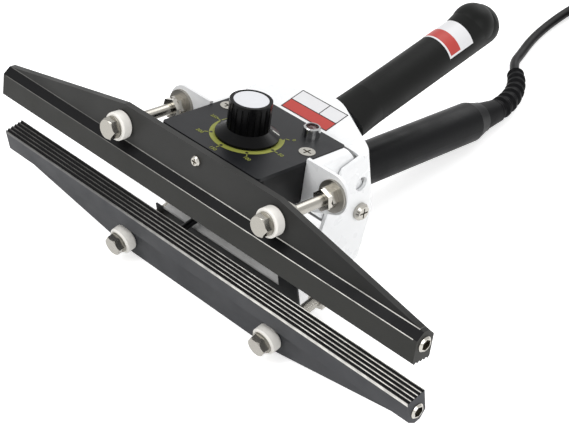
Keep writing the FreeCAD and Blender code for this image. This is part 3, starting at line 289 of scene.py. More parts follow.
class Shop:
    """Makes meshes and objects, and keeps the materials that were built."""

    def __init__(self, frames: ArmFrames) -> None:
        """Keeps the arms' frames for later placing."""
        self.frames = frames
        self.materials: dict[str, Material] = {}

    def finish(self, finish: "Finish") -> Material:
        """Builds a finish once and gives its material.

        Args:
            finish: the finish to build.

        Returns:
            The material, the same one at every call.
        """
        if finish.name not in self.materials:
            self.materials[finish.name] = finish.build(self.frames)
        return self.materials[finish.name]

    def to_object(self, name: str, mesh: bpy.types.Mesh, finish: "Finish") -> Piece:
        """Links a mesh as an object at the origin with one material.

        Args:
            name: the piece's name.
            mesh: the finished mesh, already in place.
            finish: the material's finish.

        Returns:
            The new object.
        """
        mesh.materials.clear()
        mesh.materials.append(self.finish(finish))
        return linked(name, mesh)

    def from_bmesh(self, name: str, form: bmesh.types.BMesh, finish: "Finish", arm: Arm) -> Piece:
        """Turns a form drawn in millimetres into a placed object.

        Args:
            name: the piece's name.
            form: the drawn form; it is freed here.
            finish: the material's finish.
            arm: the arm whose drawing it belongs to.

        Returns:
            The new object, with its place in its mesh.
        """
        bmesh.ops.recalc_face_normals(form, faces=form.faces)
        mesh = bpy.data.meshes.new(name)
        form.to_mesh(mesh)
        form.free()
        mesh.transform(self.frames.matrix(arm) @ Matrix.Scale(MM, 4))
        return self.to_object(name, mesh, finish)

    def baked(self, source: Piece, name: str, finish: "Finish") -> Piece:
        """Turns an object with live modifiers or a curve into a plain mesh object.

        Args:
            source: the object to evaluate; it is removed.
            name: the new piece's name.
            finish: the material's finish.

        Returns:
            The plain mesh object at the origin.
        """
        bpy.context.view_layer.update()
        final = source.evaluated_get(bpy.context.evaluated_depsgraph_get())
        mesh = bpy.data.meshes.new_from_object(final)
        mesh.transform(source.matrix_world)
        bpy.data.objects.remove(source)
        return self.to_object(name, mesh, finish)

    def grown(self, name: str, tree: Tree, values: dict[str, Any], finish: "Finish", matrix: Matrix) -> Piece:
        """Runs a geometry tree with the given sizes and keeps its result as a plain mesh.

        Args:
            name: the piece's name.
            tree: the geometry tree.
            values: input name to value.
            finish: the material's finish.
            matrix: the piece's place, in metres.

        Returns:
            The plain mesh object at the origin.
        """
        holder = linked(name + "_holder", bpy.data.meshes.new(name + "_holder"))
        modifier = holder.modifiers.new(name, "NODES")
        modifier.node_group = tree
        for item in tree.interface.items_tree:
            if item.in_out == "INPUT":
                modifier[item.identifier] = values[item.name]
        holder.matrix_world = matrix
        return self.baked(holder, name, finish)

    def tube(self, name: str, points: Sequence[Vector], diameter: float, finish: "Finish",
             order: int) -> Piece:
        """Makes a round tube mesh along points of the model.

        Args:
            name: the piece's name.
            points: points in metres.
            diameter: the tube's diameter in metres.
            finish: the material's finish.
            order: 3 for a smooth spline, 2 for a line through closely spaced points.

        Returns:
            The tube as a mesh object.
        """
        piece = self.baked(linked(name + "_line", route_curve(name, points, diameter, order)), name, finish)
        piece.data.shade_smooth()
        return piece


# ---------------------------------------------------------------- finishes


@dataclass(frozen=True)
class Finish:
    """A surface finish: what the material is and how its surface was made."""

    name: str
    colour: str
    roughness: float
    metallic: float = 0.0
    ior: float = 1.5
    specular: float = 0.5
    coat: float = 0.0
    coat_roughness: float = 0.1
    grain_mm: float = 0.7
    grain_bump: float = 0.01
    mottle: float = 0.08
    stretch: Point = (1.0, 1.0, 1.0)
    arm: Arm | None = None
    cloud_mm: float = 16.67
    cloud_range: Pair = (0.3, 0.7)
    gloss_swing: Pair = (-0.06, 0.07)
    least_roughness: float = 0.02

    def start(self) -> tuple[Material, Tree, bpy.types.Node]:
        """Makes an empty material with its shader.

        Returns:
            The material, its tree and the shader node.
        """
        material = bpy.data.materials.new(self.name)
        material.use_nodes = True
        tree = material.node_tree
        tree.nodes.clear()
        shader = add_node(tree, "ShaderNodeBsdfPrincipled", {
            "Base Color": linear(self.colour), "Roughness": self.roughness, "Metallic": self.metallic,
            "Coat Weight": self.coat, "Coat Roughness": self.coat_roughness,
            "Specular IOR Level": self.specular})
        if not self.metallic:
            shader.inputs["IOR"].default_value = self.ior
        add_node(tree, "ShaderNodeOutputMaterial", {"Surface": shader.outputs["BSDF"]})
        return material, tree, shader

    def drawn_place(self, tree: Tree, frames: ArmFrames) -> Socket:
        """Gives the surface point in the arm's own drawing, in metres.

        Args:
            tree: the material's tree.
            frames: where the arms' drawings lie.

        Returns:
            A vector socket; object coordinates where no arm is named.
        """
        place = add_node(tree, "ShaderNodeTexCoord").outputs["Object"]
        if self.arm is None:
            return place
        location, turn, _ = frames.matrix(self.arm).inverted().decompose()
        return add_node(tree, "ShaderNodeMapping", {
            "Vector": place, "Location": location, "Rotation": turn.to_euler("XYZ")}).outputs["Vector"]

    def dress(self, tree: Tree, shader: bpy.types.Node, place: Socket) -> None:
        """Adds the surface: bump and tone in grains, stretched along the drawing, and clouds of gloss.

        Args:
            tree: the material's tree.
            shader: the shader node.
            place: the surface point.
        """
        scaled = add_node(tree, "ShaderNodeVectorMath", {0: place, 1: self.stretch}, operation="MULTIPLY")
        grain = add_node(tree, "ShaderNodeTexNoise", {
            "Vector": scaled.outputs[0], "Scale": 1.0 / (self.grain_mm * MM), "Detail": 4.0,
            "Roughness": 0.6})
        if self.grain_bump:
            bump = add_node(tree, "ShaderNodeBump", {
                "Strength": 1.0, "Distance": self.grain_bump * MM, "Height": grain.outputs["Fac"]})
            tree.links.new(bump.outputs["Normal"], shader.inputs["Normal"])
        clouds = add_node(tree, "ShaderNodeTexNoise", {
            "Vector": place, "Scale": 1.0 / (self.cloud_mm * MM), "Detail": 3.0})
        glossy, dull = (self.roughness + swing for swing in self.gloss_swing)
        gloss = add_node(tree, "ShaderNodeMapRange", {
            "Value": clouds.outputs["Fac"], "From Min": self.cloud_range[0], "From Max": self.cloud_range[1],
            "To Min": max(self.least_roughness, glossy), "To Max": dull})
        tree.links.new(gloss.outputs["Result"], shader.inputs["Roughness"])
        if self.mottle:
            tone = add_node(tree, "ShaderNodeMix", {
                "Factor": grain.outputs["Fac"], "A": self.shade(1 - self.mottle),
                "B": self.shade(1 + self.mottle)}, data_type="RGBA")
            tree.links.new(tone.outputs["Result"], shader.inputs["Base Color"])

    def shade(self, factor: float) -> tuple[float, float, float, float]:
        """Gives the finish's colour, lighter or darker by a factor."""
        red, green, blue, _ = linear(self.colour)
        return min(1.0, red * factor), min(1.0, green * factor), min(1.0, blue * factor), 1.0

    def build(self, frames: ArmFrames) -> Material:
        """Builds the material.

        Args:
            frames: where the arms' drawings lie.

        Returns:
            The finished material.
        """
        material, tree, shader = self.start()
        self.dress(tree, shader, self.drawn_place(tree, frames))
        return material


@dataclass(frozen=True)
class JawFinish(Finish):
    """Black anodised aluminium bar drawn along its length: crests worn bare with painted highlight, painted
    highlight lines on the front edge and both edges of the milled bevel, and painted shade in the grooves, on
    the bevel and on the web's right end.

    Depths are counted in from the sealing crests, and ramp_span is the depth that the colour ramps cover.
    """

    # bare crests are worn metal; the same bright colour paints the highlight lines along the edges
    bare_and_highlight: str = "#e6e4de"
    bare_and_highlight_metallic: float = 0.4
    web_colour: str = "#373736"
    # painted shade: the sloping bevel and the grooves between the crests are darker than the bar
    bevel_shade_colour: str = "#060608"
    groove_shade_colour: str = "#0c0c0d"
    crest_side: float = 1.0
    crest: float = 0.35
    crest_depth: float = 0.24
    groove_depth: float = 1.0
    bevel: Pair = (12.8, 16.3)
    # width and strength of the painted highlight lines on the bevel's edges, and depth of the painted
    # highlight band on the front face
    edge_width: float = 0.45
    painted_edge_highlight: float = 1.0
    front_highlight: float = 0.0
    half_length: float = 150.0
    end_depth: float = 6.0
    # painted highlight: the bright metal fades out towards the left between these two places
    highlight_along: Pair = (-60.0, 40.0)
    least_highlight: float = 0.15
    wear_spot_mm: float = 7.143
    spot_range: Pair = (0.3, 0.6)
    least_spot: float = 0.55
    line_end: float = 147.6
    # painted shade: the web darkens towards the right, standing in for dark reflections
    web_shade_colour: str = "#191918"
    web_shade_along: Pair = (10.0, 120.0)
    web_shade_most: float = 0.0
    ramp_span: float = 20.0
    blur: float = 0.05
    skin: float = 0.05

    @property
    def bevel_depths(self) -> Pair:
        """Gives the depths where the bevel starts and ends."""
        return self.crest + self.bevel[0], self.crest + self.bevel[1]

    def depth(self, tree: Tree, axes: Any) -> Socket:
        """Gives a point's depth; the bar's end faces count as plain bar.

        Args:
            tree: the material's tree.
            axes: the point's three places in the arm's drawing.

        Returns:
            The depth as a share of ramp_span.
        """
        inward = add_node(tree, "ShaderNodeMath", {
            0: axes["Z"], 1: -self.crest_side / (self.ramp_span * MM), 2: self.crest / self.ramp_span},
            operation="MULTIPLY_ADD")
        along = self.within(tree, axes, self.half_length - self.skin)
        return add_node(tree, "ShaderNodeMix", {
            "Factor": along, "A": self.end_depth / self.ramp_span, "B": inward.outputs[0]},
            data_type="FLOAT").outputs["Result"]

    @staticmethod
    def within(tree: Tree, axes: Any, reach: float) -> Socket:
        """Gives one for points that lie closer to the bar's middle than a reach."""
        out = add_node(tree, "ShaderNodeMath", {0: axes["X"]}, operation="ABSOLUTE").outputs[0]
        return add_node(tree, "ShaderNodeMath", {0: out, 1: reach * MM}, operation="LESS_THAN").outputs[0]

    def dye_and_shade(self, tree: Tree, axes: Any, depth: Socket) -> Socket:
        """Gives the dyed colour with painted shade: grooves in painted shade, the bar, the bevel in painted
        shade, and a web darkened by painted shade towards the right.

        Args:
            tree: the material's tree.
            axes: the point's three places in the arm's drawing.
            depth: its depth.

        Returns:
            The colour's socket.
        """
        low, high = self.bevel_depths
        tones = add_node(tree, "ShaderNodeValToRGB", {"Fac": depth})
        set_stops(tones.color_ramp, [(place / self.ramp_span, colour) for place, colour in (
            (0.0, self.groove_shade_colour), (self.groove_depth, self.groove_shade_colour),
            (self.groove_depth + 2 * self.blur, self.colour), (low, self.colour),
            (low + self.blur, self.bevel_shade_colour), (high - self.blur, self.bevel_shade_colour),
            (high, self.web_colour))])
        # painted shade on the web, growing towards the right
        web = add_node(tree, "ShaderNodeMath", {0: depth, 1: high / self.ramp_span}, operation="GREATER_THAN")
        web_shade = add_node(tree, "ShaderNodeMapRange", {
            "Value": axes["X"], "From Min": self.web_shade_along[0] * MM, "From Max": self.web_shade_along[1] * MM,
            "To Min": 0.0, "To Max": self.web_shade_most})
        share = add_node(tree, "ShaderNodeMath", {
            0: web.outputs[0], 1: web_shade.outputs["Result"]}, operation="MULTIPLY")
        return add_node(tree, "ShaderNodeMix", {
            "Factor": share.outputs[0], "A": tones.outputs["Color"], "B": linear(self.web_shade_colour)},
            data_type="RGBA").outputs["Result"]

    def bare_and_highlight_mask(self, tree: Tree, axes: Any, depth: Socket) -> Socket:
        """Gives one where the colour turns bright: worn crests, and painted highlight lines on the front edge
        and along both edges of the bevel.

        Args:
            tree: the material's tree.
            axes: the point's three places in the arm's drawing.
            depth: its depth.

        Returns:
            A value socket.
        """
        low, high = self.bevel_depths
        edge, blur = self.edge_width, self.blur
        edges = add_node(tree, "ShaderNodeValToRGB", {"Fac": depth})
        set_stops(edges.color_ramp, [(place / self.ramp_span, colour) for place, colour in (
            (0.0, BLACK), (low - edge - blur, BLACK), (low - edge, WHITE), (low, WHITE), (low + blur, BLACK),
            (high - blur, BLACK), (high, WHITE), (high + edge, WHITE), (high + edge + blur, BLACK))])
        lines = add_node(tree, "ShaderNodeMath", {
            0: edges.outputs["Color"], 1: self.within(tree, axes, self.line_end)}, operation="MULTIPLY")
        edge_highlights = add_node(tree, "ShaderNodeMath", {
            0: lines.outputs[0], 1: self.painted_edge_highlight}, operation="MULTIPLY")
        # painted highlight band along the front face's top edge
        front = add_node(tree, "ShaderNodeMath", {0: axes["Y"], 1: self.skin * MM}, operation="LESS_THAN")
        reach = add_node(tree, "ShaderNodeMix", {
            "Factor": front.outputs[0], "A": self.crest_depth / self.ramp_span,
            "B": self.front_highlight / self.ramp_span}, data_type="FLOAT")
        crests = add_node(tree, "ShaderNodeMath", {
            0: depth, 1: reach.outputs["Result"]}, operation="LESS_THAN")
        return add_node(tree, "ShaderNodeMath", {
            0: edge_highlights.outputs[0], 1: crests.outputs[0]}, operation="MAXIMUM").outputs[0]

    def wear_and_highlight(self, tree: Tree, place: Socket, axes: Any) -> Socket:
        """Gives how bright open metal shows: worn in spots, with a painted highlight that grows towards the
        right.

        Args:
            tree: the material's tree.
            place: the surface point.
            axes: its three places in the arm's drawing.

        Returns:
            A value socket.
        """
        spots = add_node(tree, "ShaderNodeTexNoise", {
            "Vector": place, "Scale": 1.0 / (self.wear_spot_mm * MM), "Detail": 3.0})
        worn = add_node(tree, "ShaderNodeMapRange", {
            "Value": spots.outputs["Fac"], "From Min": self.spot_range[0], "From Max": self.spot_range[1],
            "To Min": self.least_spot, "To Max": 1.0})
        # painted highlight: brighter towards the right, where the light falls
        highlight_falloff = add_node(tree, "ShaderNodeMapRange", {
            "Value": axes["X"], "From Min": self.highlight_along[0] * MM, "From Max": self.highlight_along[1] * MM,
            "To Min": self.least_highlight, "To Max": 1.0})
        return add_node(tree, "ShaderNodeMath", {
            0: worn.outputs["Result"], 1: highlight_falloff.outputs["Result"]}, operation="MULTIPLY").outputs[0]

    def build(self, frames: ArmFrames) -> Material:
        """Builds the anodised bar with its worn crests, and its bevel in painted shade between two painted
        highlight lines.

        Args:
            frames: where the arms' drawings lie.

        Returns:
            The finished material.
        """
        material, tree, shader = self.start()
        place = self.drawn_place(tree, frames)
        self.dress(tree, shader, place)
        axes = add_node(tree, "ShaderNodeSeparateXYZ", {"Vector": place}).outputs
        depth = self.depth(tree, axes)
        bare_and_highlight = add_node(tree, "ShaderNodeMath", {
            0: self.bare_and_highlight_mask(tree, axes, depth), 1: self.wear_and_highlight(tree, place, axes)}, operation="MULTIPLY")
        tone = add_node(tree, "ShaderNodeMix", {
            "Factor": bare_and_highlight.outputs[0], "A": self.dye_and_shade(tree, axes, depth), "B": linear(self.bare_and_highlight)},
            data_type="RGBA")
        tree.links.new(tone.outputs["Result"], shader.inputs["Base Color"])
        metal = add_node(tree, "ShaderNodeMapRange", {
            "Value": bare_and_highlight.outputs[0], "To Min": self.metallic, "To Max": self.bare_and_highlight_metallic})
        tree.links.new(metal.outputs["Result"], shader.inputs["Metallic"])
        return material


@dataclass(frozen=True)
class SpunFinish(Finish):
    """Spun aluminium disc: bright, with fine turned rings about its middle."""

    centre: Point = (*KNOB_AXIS, 54.4)
    ring_mm: float = 0.35
    ring_bump: float = 0.04
    ring_strength: float = 0.4
    ring_shades: Pair = (0.9, 1.08)

    def build(self, frames: ArmFrames) -> Material:
        """Builds the turned disc.

        Args:
            frames: where the arms' drawings lie.

        Returns:
            The finished material.
        """
        material, tree, shader = self.start()
        place = self.drawn_place(tree, frames)
        away = add_node(tree, "ShaderNodeVectorMath", {
            0: place, 1: Vector(self.centre) * MM}, operation="SUBTRACT")
        radius = add_node(tree, "ShaderNodeVectorMath", {0: away.outputs[0]}, operation="LENGTH")
        rings = add_node(tree, "ShaderNodeTexNoise", {
            "W": radius.outputs["Value"], "Scale": 1.0 / (self.ring_mm * MM), "Detail": 3.0},
            noise_dimensions="1D").outputs["Fac"]
        bump = add_node(tree, "ShaderNodeBump", {
            "Strength": self.ring_strength, "Distance": self.ring_bump * MM, "Height": rings})
        tree.links.new(bump.outputs["Normal"], shader.inputs["Normal"])
        dark, bright = (self.shade(factor) for factor in self.ring_shades)
        tone = add_node(tree, "ShaderNodeMix", {"Factor": rings, "A": dark, "B": bright}, data_type="RGBA")
        tree.links.new(tone.outputs["Result"], shader.inputs["Base Color"])
        return material


# Anodised aluminium extrusion: near black, with a soft sheen drawn out along the bar, painted highlight lines
# on
#  its edges, and painted shade in its grooves, on its bevel and on the upper web's right end. Its draw lines
#  are coarser than the real ones, so that they show
JAW_UPPER = JawFinish("anodised_aluminium_upper", "#333331", 0.44, metallic=0.1, specular=0.12, grain_mm=0.5,
                      grain_bump=0.015, stretch=(0.05, 1.0, 1.0), arm=Arm.UPPER, crest_side=-1.0,
                      crest_depth=0.05, web_shade_most=0.8, mottle=0.0)
JAW_LOWER = JawFinish("anodised_aluminium_lower", "#3b3c3f", 0.44, metallic=0.1, specular=0.12, grain_mm=0.5,
                      grain_bump=0.015, stretch=(0.05, 1.0, 1.0), arm=Arm.LOWER, web_colour="#37383b",
                      painted_edge_highlight=0.0, front_highlight=2.2, mottle=0.0)
# Powder-coated steel sheet: glossy white with the slight orange peel of baked powder
POWDER_WHITE = Finish("powder_coated_sheet", "#f4f5f6", 0.28, coat=0.25, coat_roughness=0.12, grain_mm=1.4,
                      grain_bump=0.02, mottle=0.015)
# Zinc-plated steel: bright metal with slightly cloudy gloss
PLATED = Finish("zinc_plated_steel", "#b4b1aa", 0.2, metallic=1.0, grain_bump=0.008)
# Heat-stained steel sheet: pale scale dulls the metal, with long smoky stains
SHIELD_STEEL = Finish("heat_stained_steel", "#e6e5e1", 0.4, grain_mm=5.0, mottle=0.4,
                      stretch=(0.35, 1.0, 1.0))
# Zinc-plated bolt heads: forged, a little duller than the nuts
BOLT = Finish("plated_bolt_steel", "#a09d96", 0.26, metallic=1.0, mottle=0.1)
# Zinc-plated washers: blanked sheet, tumbled dull before plating
WASHER = Finish("tumbled_zinc_plate", "#9d9a93", 0.38, metallic=1.0, grain_bump=0.012, mottle=0.1)
# Steatite ceramic: warm white, unglazed, faintly speckled by the pressing
CERAMIC = Finish("steatite_ceramic", "#f2efe9", 0.5, grain_mm=0.5, grain_bump=0.015, mottle=0.04)
# Painted steel panel: satin black lacquer with a fine grit, drawn coarse enough to show
PANEL_BLACK = Finish("lacquered_panel", "#16171a", 0.38, specular=0.2, grain_mm=0.35, grain_bump=0.02,
                     mottle=0.05)
# Moulded ABS box: black with a fine spark-eroded texture
BOX_BLACK = Finish("abs_box", "#101011", 0.5, specular=0.2, grain_mm=0.6, grain_bump=0.03, mottle=0.05)
# Phenolic knob: deep black moulding with a soft shine
KNOB_BLACK = Finish("phenolic_knob", "#060607", 0.2, specular=0.1, grain_mm=0.8, grain_bump=0.008,
                    mottle=0.04)
# Spun aluminium cap of the knob: turned bright and lightly anodised, its rings drawn coarse enough to show
KNOB_CAP = SpunFinish("spun_aluminium", "#e3e4e8", 0.26, metallic=0.5, arm=Arm.UPPER)
# Chromed brass collar: mirror bright
CHROME = Finish("chromed_brass", "#b2b2b2", 0.1, metallic=1.0, grain_mm=1.2, grain_bump=0.004, mottle=0.0)
# Red acrylic lens, unlit and so nearly black
LENS_RED = Finish("red_acrylic", "#3f0d0c", 0.12, ior=1.49, grain_mm=0.8, mottle=0.0)
# Dipped PVC sleeves: matte black rubber skin with a slight orange peel
GRIP_UPPER = Finish("pvc_sleeve_upper", "#0c0d0c", 0.5, specular=0.15, grain_mm=1.6, grain_bump=0.05)
GRIP_LOWER = Finish("pvc_sleeve_lower", "#08090b", 0.42, specular=0.12, grain_mm=1.6, grain_bump=0.05)
# Rubber cord, boot and plug: black, soft shine
CORD_BLACK = Finish("rubber_cord", "#08080a", 0.45, specular=0.14, grain_mm=0.9, grain_bump=0.02, mottle=0.06)
BOOT_BLACK = Finish("rubber_boot", "#060608", 0.5, specular=0.08, grain_mm=0.8, grain_bump=0.03, mottle=0.06)
PLUG_BLACK = Finish("moulded_plug", "#0c0c0e", 0.45, specular=0.2, grain_bump=0.03, mottle=0.05)
# Nickel-plated brass pins: bright with a warm cast
PIN_NICKEL = Finish("nickel_plated_brass", "#cfc9b8", 0.18, metallic=1.0, grain_mm=1.0, grain_bump=0.004,
                    mottle=0.04)
# Oiled spring wire and bare steel tube: dark drawn steel
SPRING_STEEL = Finish("oiled_spring_wire", "#6f7074", 0.3, metallic=1.0, grain_mm=0.5)
TUBE_STEEL = Finish("bare_steel_tube", "#8d8f94", 0.35, metallic=1.0, grain_mm=0.6)
# Screen-printed ink: flat olive yellow, white and black, a little rough on the lacquer
INK_OLIVE = Finish("screen_ink_olive", "#8f9344", 0.55, specular=0.3, grain_mm=0.3, mottle=0.1)
INK_WHITE = Finish("screen_ink_white", "#dcdcd6", 0.5, specular=0.3, grain_mm=0.3)
INK_BLACK = Finish("screen_ink_black", "#201a1b", 0.5, specular=0.3, grain_mm=0.3)
# Vinyl stickers: smooth satin film
VINYL_WHITE = Finish("vinyl_white", "#e2e2e4", 0.35, grain_mm=2.0, mottle=0.02)
VINYL_RED = Finish("vinyl_red", "#b53a33", 0.35, grain_mm=2.0, mottle=0.05)

# The nodes of each finish; every other node is plated steel
FINISHED_NODES: dict[Finish, tuple[str, ...]] = {
    JAW_UPPER: ("upper_jaw",),
    JAW_LOWER: ("lower_jaw",),
    POWDER_WHITE: ("upper_frame", "lower_frame"),
    CERAMIC: ("upper_front_bushes", "lower_front_bushes", "upper_rear_bushes", "lower_rear_bushes"),
    BOLT: ("upper_jaw_bolts", "lower_jaw_bolts"),
    WASHER: ("upper_flange_washers", "lower_flange_washers", "upper_bolt_washers", "lower_bolt_washers"),
    PANEL_BLACK: ("control_panel",),
    BOX_BLACK: ("control_box", "thermostat", "terminal_block", "sensor_block"),
    KNOB_BLACK: ("control_knob",),
    KNOB_CAP: ("knob_cap",),
    CHROME: ("indicator_bezel",),
    LENS_RED: ("indicator_lens",),
    GRIP_LOWER: ("lower_handle_grip",),
    GRIP_UPPER: ("upper_handle_grip",),
    TUBE_STEEL: ("lower_handle_tube", "upper_handle_tube"),
    CORD_BLACK: ("supply_lead", "upper_heater_lead"),
    BOOT_BLACK: ("lead_grommet", "cord_boot"),
    PLUG_BLACK: ("coil_tie", "plug_body"),
    PIN_NICKEL: ("plug_pins",),
}


# ---------------------------------------------------------------- sub-assemblies


@dataclass
class Trim:
    """A sub-assembly of the dressing, made in the shop."""

    shop: Shop


@dataclass
class MainsCord(Trim):
    """The mains cord on the floor, from the boot's tip through the put-away coil to the plug."""

    diameter: float = 6.0
    route: tuple[Point, ...] = (
        (-18.931, 176.625, 6.0), (-28.993, 186.342, 5.423), (-34.5, 201.5, 3.8), (-41.3, 220.5, 3.2),
        (-45.6, 241.5, 3.1))
    coil_centre: Point = (-2.0, 297.6, 4.1)
    reversal_radius: float = 24.5
    pitch: float = 6.7
    layer_rise: float = 6.7
    turns_in: float = 3.0
    turns_out: float = 2.25
    entry_run: float = 8.0
    approach_run: float = 22.5
    exit_run: float = 28.0
    exit_steps: tuple[float, ...] = (0.35, 0.7, 1.0)
    points_per_turn: int = 16
    heading_step: float = 1e-4

    def coil_point(self, turn: float) -> Vector:
        """Gives a point of the coil, counted in turns from its left side.

        Args:
            turn: turns wound so far.

        Returns:
            The point in millimetres.
        """
        angle = math.pi - 2 * math.pi * turn
        radius = self.reversal_radius + self.pitch * abs(turn - self.turns_in)
        climb = min(1.0, max(0.0, 2 * (turn - self.turns_in) + 0.5))
        rise = self.layer_rise * climb * climb * (3 - 2 * climb)
        return Vector(self.coil_centre) + Vector((radius * math.cos(angle), radius * math.sin(angle), rise))

    def heading(self, turn: float) -> Vector:
        """Gives the coil's direction at a turn."""
        step = self.heading_step
        return (self.coil_point(turn + step) - self.coil_point(turn - step)).normalized()

    def control_points(self) -> list[Vector]:
        """Lists the cord's control points from the boot to the plug, in millimetres.

        Returns:
            The route's points, the coil's turns and the last straight run.
        """
        turns = self.turns_in + self.turns_out
        start, end = self.coil_point(0.0), self.coil_point(turns)
        into, out = self.heading(0.0), self.heading(turns)
        entry = start - into * self.entry_run
        points = [Vector(point) for point in self.route] + [entry - into * self.approach_run, entry]
        count = round(turns * self.points_per_turn)
        points += [self.coil_point(turns * step / count) for step in range(count + 1)]
        return points + [end + out * (self.exit_run * step) for step in self.exit_steps]

    def build(self, nodes: dict[str, Piece]) -> None:
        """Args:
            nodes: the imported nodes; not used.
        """
        points = [point * MM for point in self.control_points()]
        curve = route_curve("mains_cord", points, self.diameter * MM)
        cord = linked("mains_cord", curve)
        curve.materials.append(self.shop.finish(CORD_BLACK))
        attach(cord, Body.UPPER)
        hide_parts("power_cord", "cord_coil")
        LOG.info("mains cord laid with %d control points", len(points))


@dataclass
class ReturnSpring(Trim):
    """The torsion spring round the pivot, which twists as the grips close."""

    wire: float = 2.0
    coil_d: float = 13.0
    turns: int = 5
    pitch: float = 2.6
    leg: float = 24.0
    front_rise: float = 8.0
    rear_rise: float = 6.0
    points_per_turn: int = 24

    def point(self, turn: float) -> Vector:
        """Gives a point of the coil from the pivot, counted in turns from the top towards the back.

        Args:
            turn: turns wound so far.

        Returns:
            The point in millimetres.
        """
        angle = 2 * math.pi * turn
        radius = self.coil_d / 2
        across = self.pitch * (turn - self.turns / 2)
        return Vector((across, radius * math.sin(angle), radius * math.cos(angle)))

    def build(self) -> None:
        """Winds the spring."""
        first = self.front_rise / 360
        last = self.turns - self.rear_rise / 360
        count = self.turns * self.points_per_turn
        coil = [self.point(first + (last - first) * step / count) for step in range(count + 1)]
        into = (coil[1] - coil[0]).normalized()
        out = (coil[-1] - coil[-2]).normalized()
        line = [coil[0] - into * self.leg] + coil + [coil[-1] + out * self.leg]
        pivot = Vector(self.shop.frames.drawn_pivot)
        placed = [self.shop.frames.place(Arm.UPPER, tuple(pivot + point)) for point in line]
        spring = self.shop.tube("return_spring_wound", placed, self.wire * MM, SPRING_STEEL, order=2)
        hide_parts("return_spring")
        half = Vector((self.pitch * self.turns / 2 + self.wire, 0.0, 0.0))
        tuple(self.shop.frames.place(Arm.UPPER, tuple(pivot - half)))
        tuple(self.shop.frames.place(Arm.UPPER, tuple(pivot + half)))
        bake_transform(spring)
        LOG.info("return spring wound")


@dataclass
class LowerHeaterLead(Trim):
    """The slack lead from the lower jaw up into the box, which flexes as the jaws close."""

    diameter: float = 4.0
    across: float = -20.0
    jaw_start: Pair = (9.2, -6.4)
    jaw_out: float = 18.0
    entry_y: float = 36.0
    knee_z: float = -6.4
    entry_run: float = 10.0
    top_z: float = 17.0

    def build(self) -> None:
        """Draws the lead from the lower jaw up into the box."""
        y, z = self.jaw_start
        at_jaw = [(y, z), (y + self.jaw_out / 2, z), (y + self.jaw_out, z)]
        heights = (self.knee_z, self.knee_z + self.entry_run, self.top_z)
        at_box = [(self.entry_y, height) for height in heights]
        route = [self.shop.frames.place(Arm.LOWER, (self.across, *point)) for point in at_jaw]
        route += [self.shop.frames.place(Arm.UPPER, (self.across, *point)) for point in at_box]
        lead = self.shop.tube("lower_heater_lead_bent", route, self.diameter * MM, CORD_BLACK, order=3)
        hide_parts("lower_heater_lead")
        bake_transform(lead)
        LOG.info("lower heater lead drawn")


@dataclass
class BoltThreads(Trim):
    """The rolled threads on the lower jaw's bolts; the upper bolts have plain shanks there."""

    bolt_spacing: float = 110.0
    bolt_height: float = 24.8
    root_radius: float = 2.9
    ridge_d: float = 0.45
    pitch: float = 1.0
    stretch: Pair = (15.2, 35.2)
    steps_per_turn: int = 20
    ridge_sides: int = 6

    def tree(self, material: Material) -> Tree:
        """Builds the tree that winds one thread on each of two bolts.

        Args:
            material: the threads' material.

        Returns:
            A geometry tree with named sizes.
        """
        tree = bpy.data.node_groups.new("bolt_threads", "GeometryNodeTree")
        tree.interface.new_socket("Geometry", in_out="OUTPUT", socket_type="NodeSocketGeometry")
        for name in ("Spacing", "Root Radius", "Ridge Radius", "Turns", "Length"):
            tree.interface.new_socket(name, in_out="INPUT", socket_type="NodeSocketFloat")
        entry = add_node(tree, "NodeGroupInput").outputs
        spiral = add_node(tree, "GeometryNodeCurveSpiral", {
            "Resolution": self.steps_per_turn, "Rotations": entry["Turns"], "Height": entry["Length"],
            "Start Radius": entry["Root Radius"], "End Radius": entry["Root Radius"]})
        ridge = add_node(tree, "GeometryNodeCurvePrimitiveCircle", {
            "Resolution": self.ridge_sides, "Radius": entry["Ridge Radius"]})
        thread = add_node(tree, "GeometryNodeCurveToMesh", {
            "Curve": spiral.outputs["Curve"], "Profile Curve": ridge.outputs["Curve"], "Fill Caps": True})
        half = add_node(tree, "ShaderNodeMath", {0: entry["Spacing"], 1: -0.5}, operation="MULTIPLY")
        first = add_node(tree, "ShaderNodeCombineXYZ", {"X": half.outputs[0]})
        step = add_node(tree, "ShaderNodeCombineXYZ", {"X": entry["Spacing"]})
        bolts = add_node(tree, "GeometryNodeMeshLine", {
            "Count": 2, "Start Location": first.outputs[0], "Offset": step.outputs[0]})
        both = add_node(tree, "GeometryNodeInstanceOnPoints", {
            "Points": bolts.outputs["Mesh"], "Instance": thread.outputs["Mesh"]})
        finish_tree(tree, both, material)
        return tree

    def build(self) -> None:
        """Winds the threads on both bolts of the lower jaw."""
        front, back = self.stretch
        values = {"Spacing": self.bolt_spacing * MM, "Root Radius": self.root_radius * MM,
                  "Ridge Radius": self.ridge_d / 2 * MM, "Turns": (back - front) / self.pitch,
                  "Length": (back - front) * MM}
        start = Vector((0.0, front, -self.bolt_height)) * MM
        lie = Matrix.Translation(start) @ Matrix.Rotation(-math.pi / 2, 4, "X")
        tree = self.tree(self.shop.finish(PLATED))
        place = self.shop.frames.matrix(Arm.LOWER) @ lie
        piece = self.shop.grown("lower_bolt_threads", tree, values, PLATED, place)
        piece.data.shade_smooth()
        attach(piece, Body.LOWER)
        LOG.info("bolt threads wound")


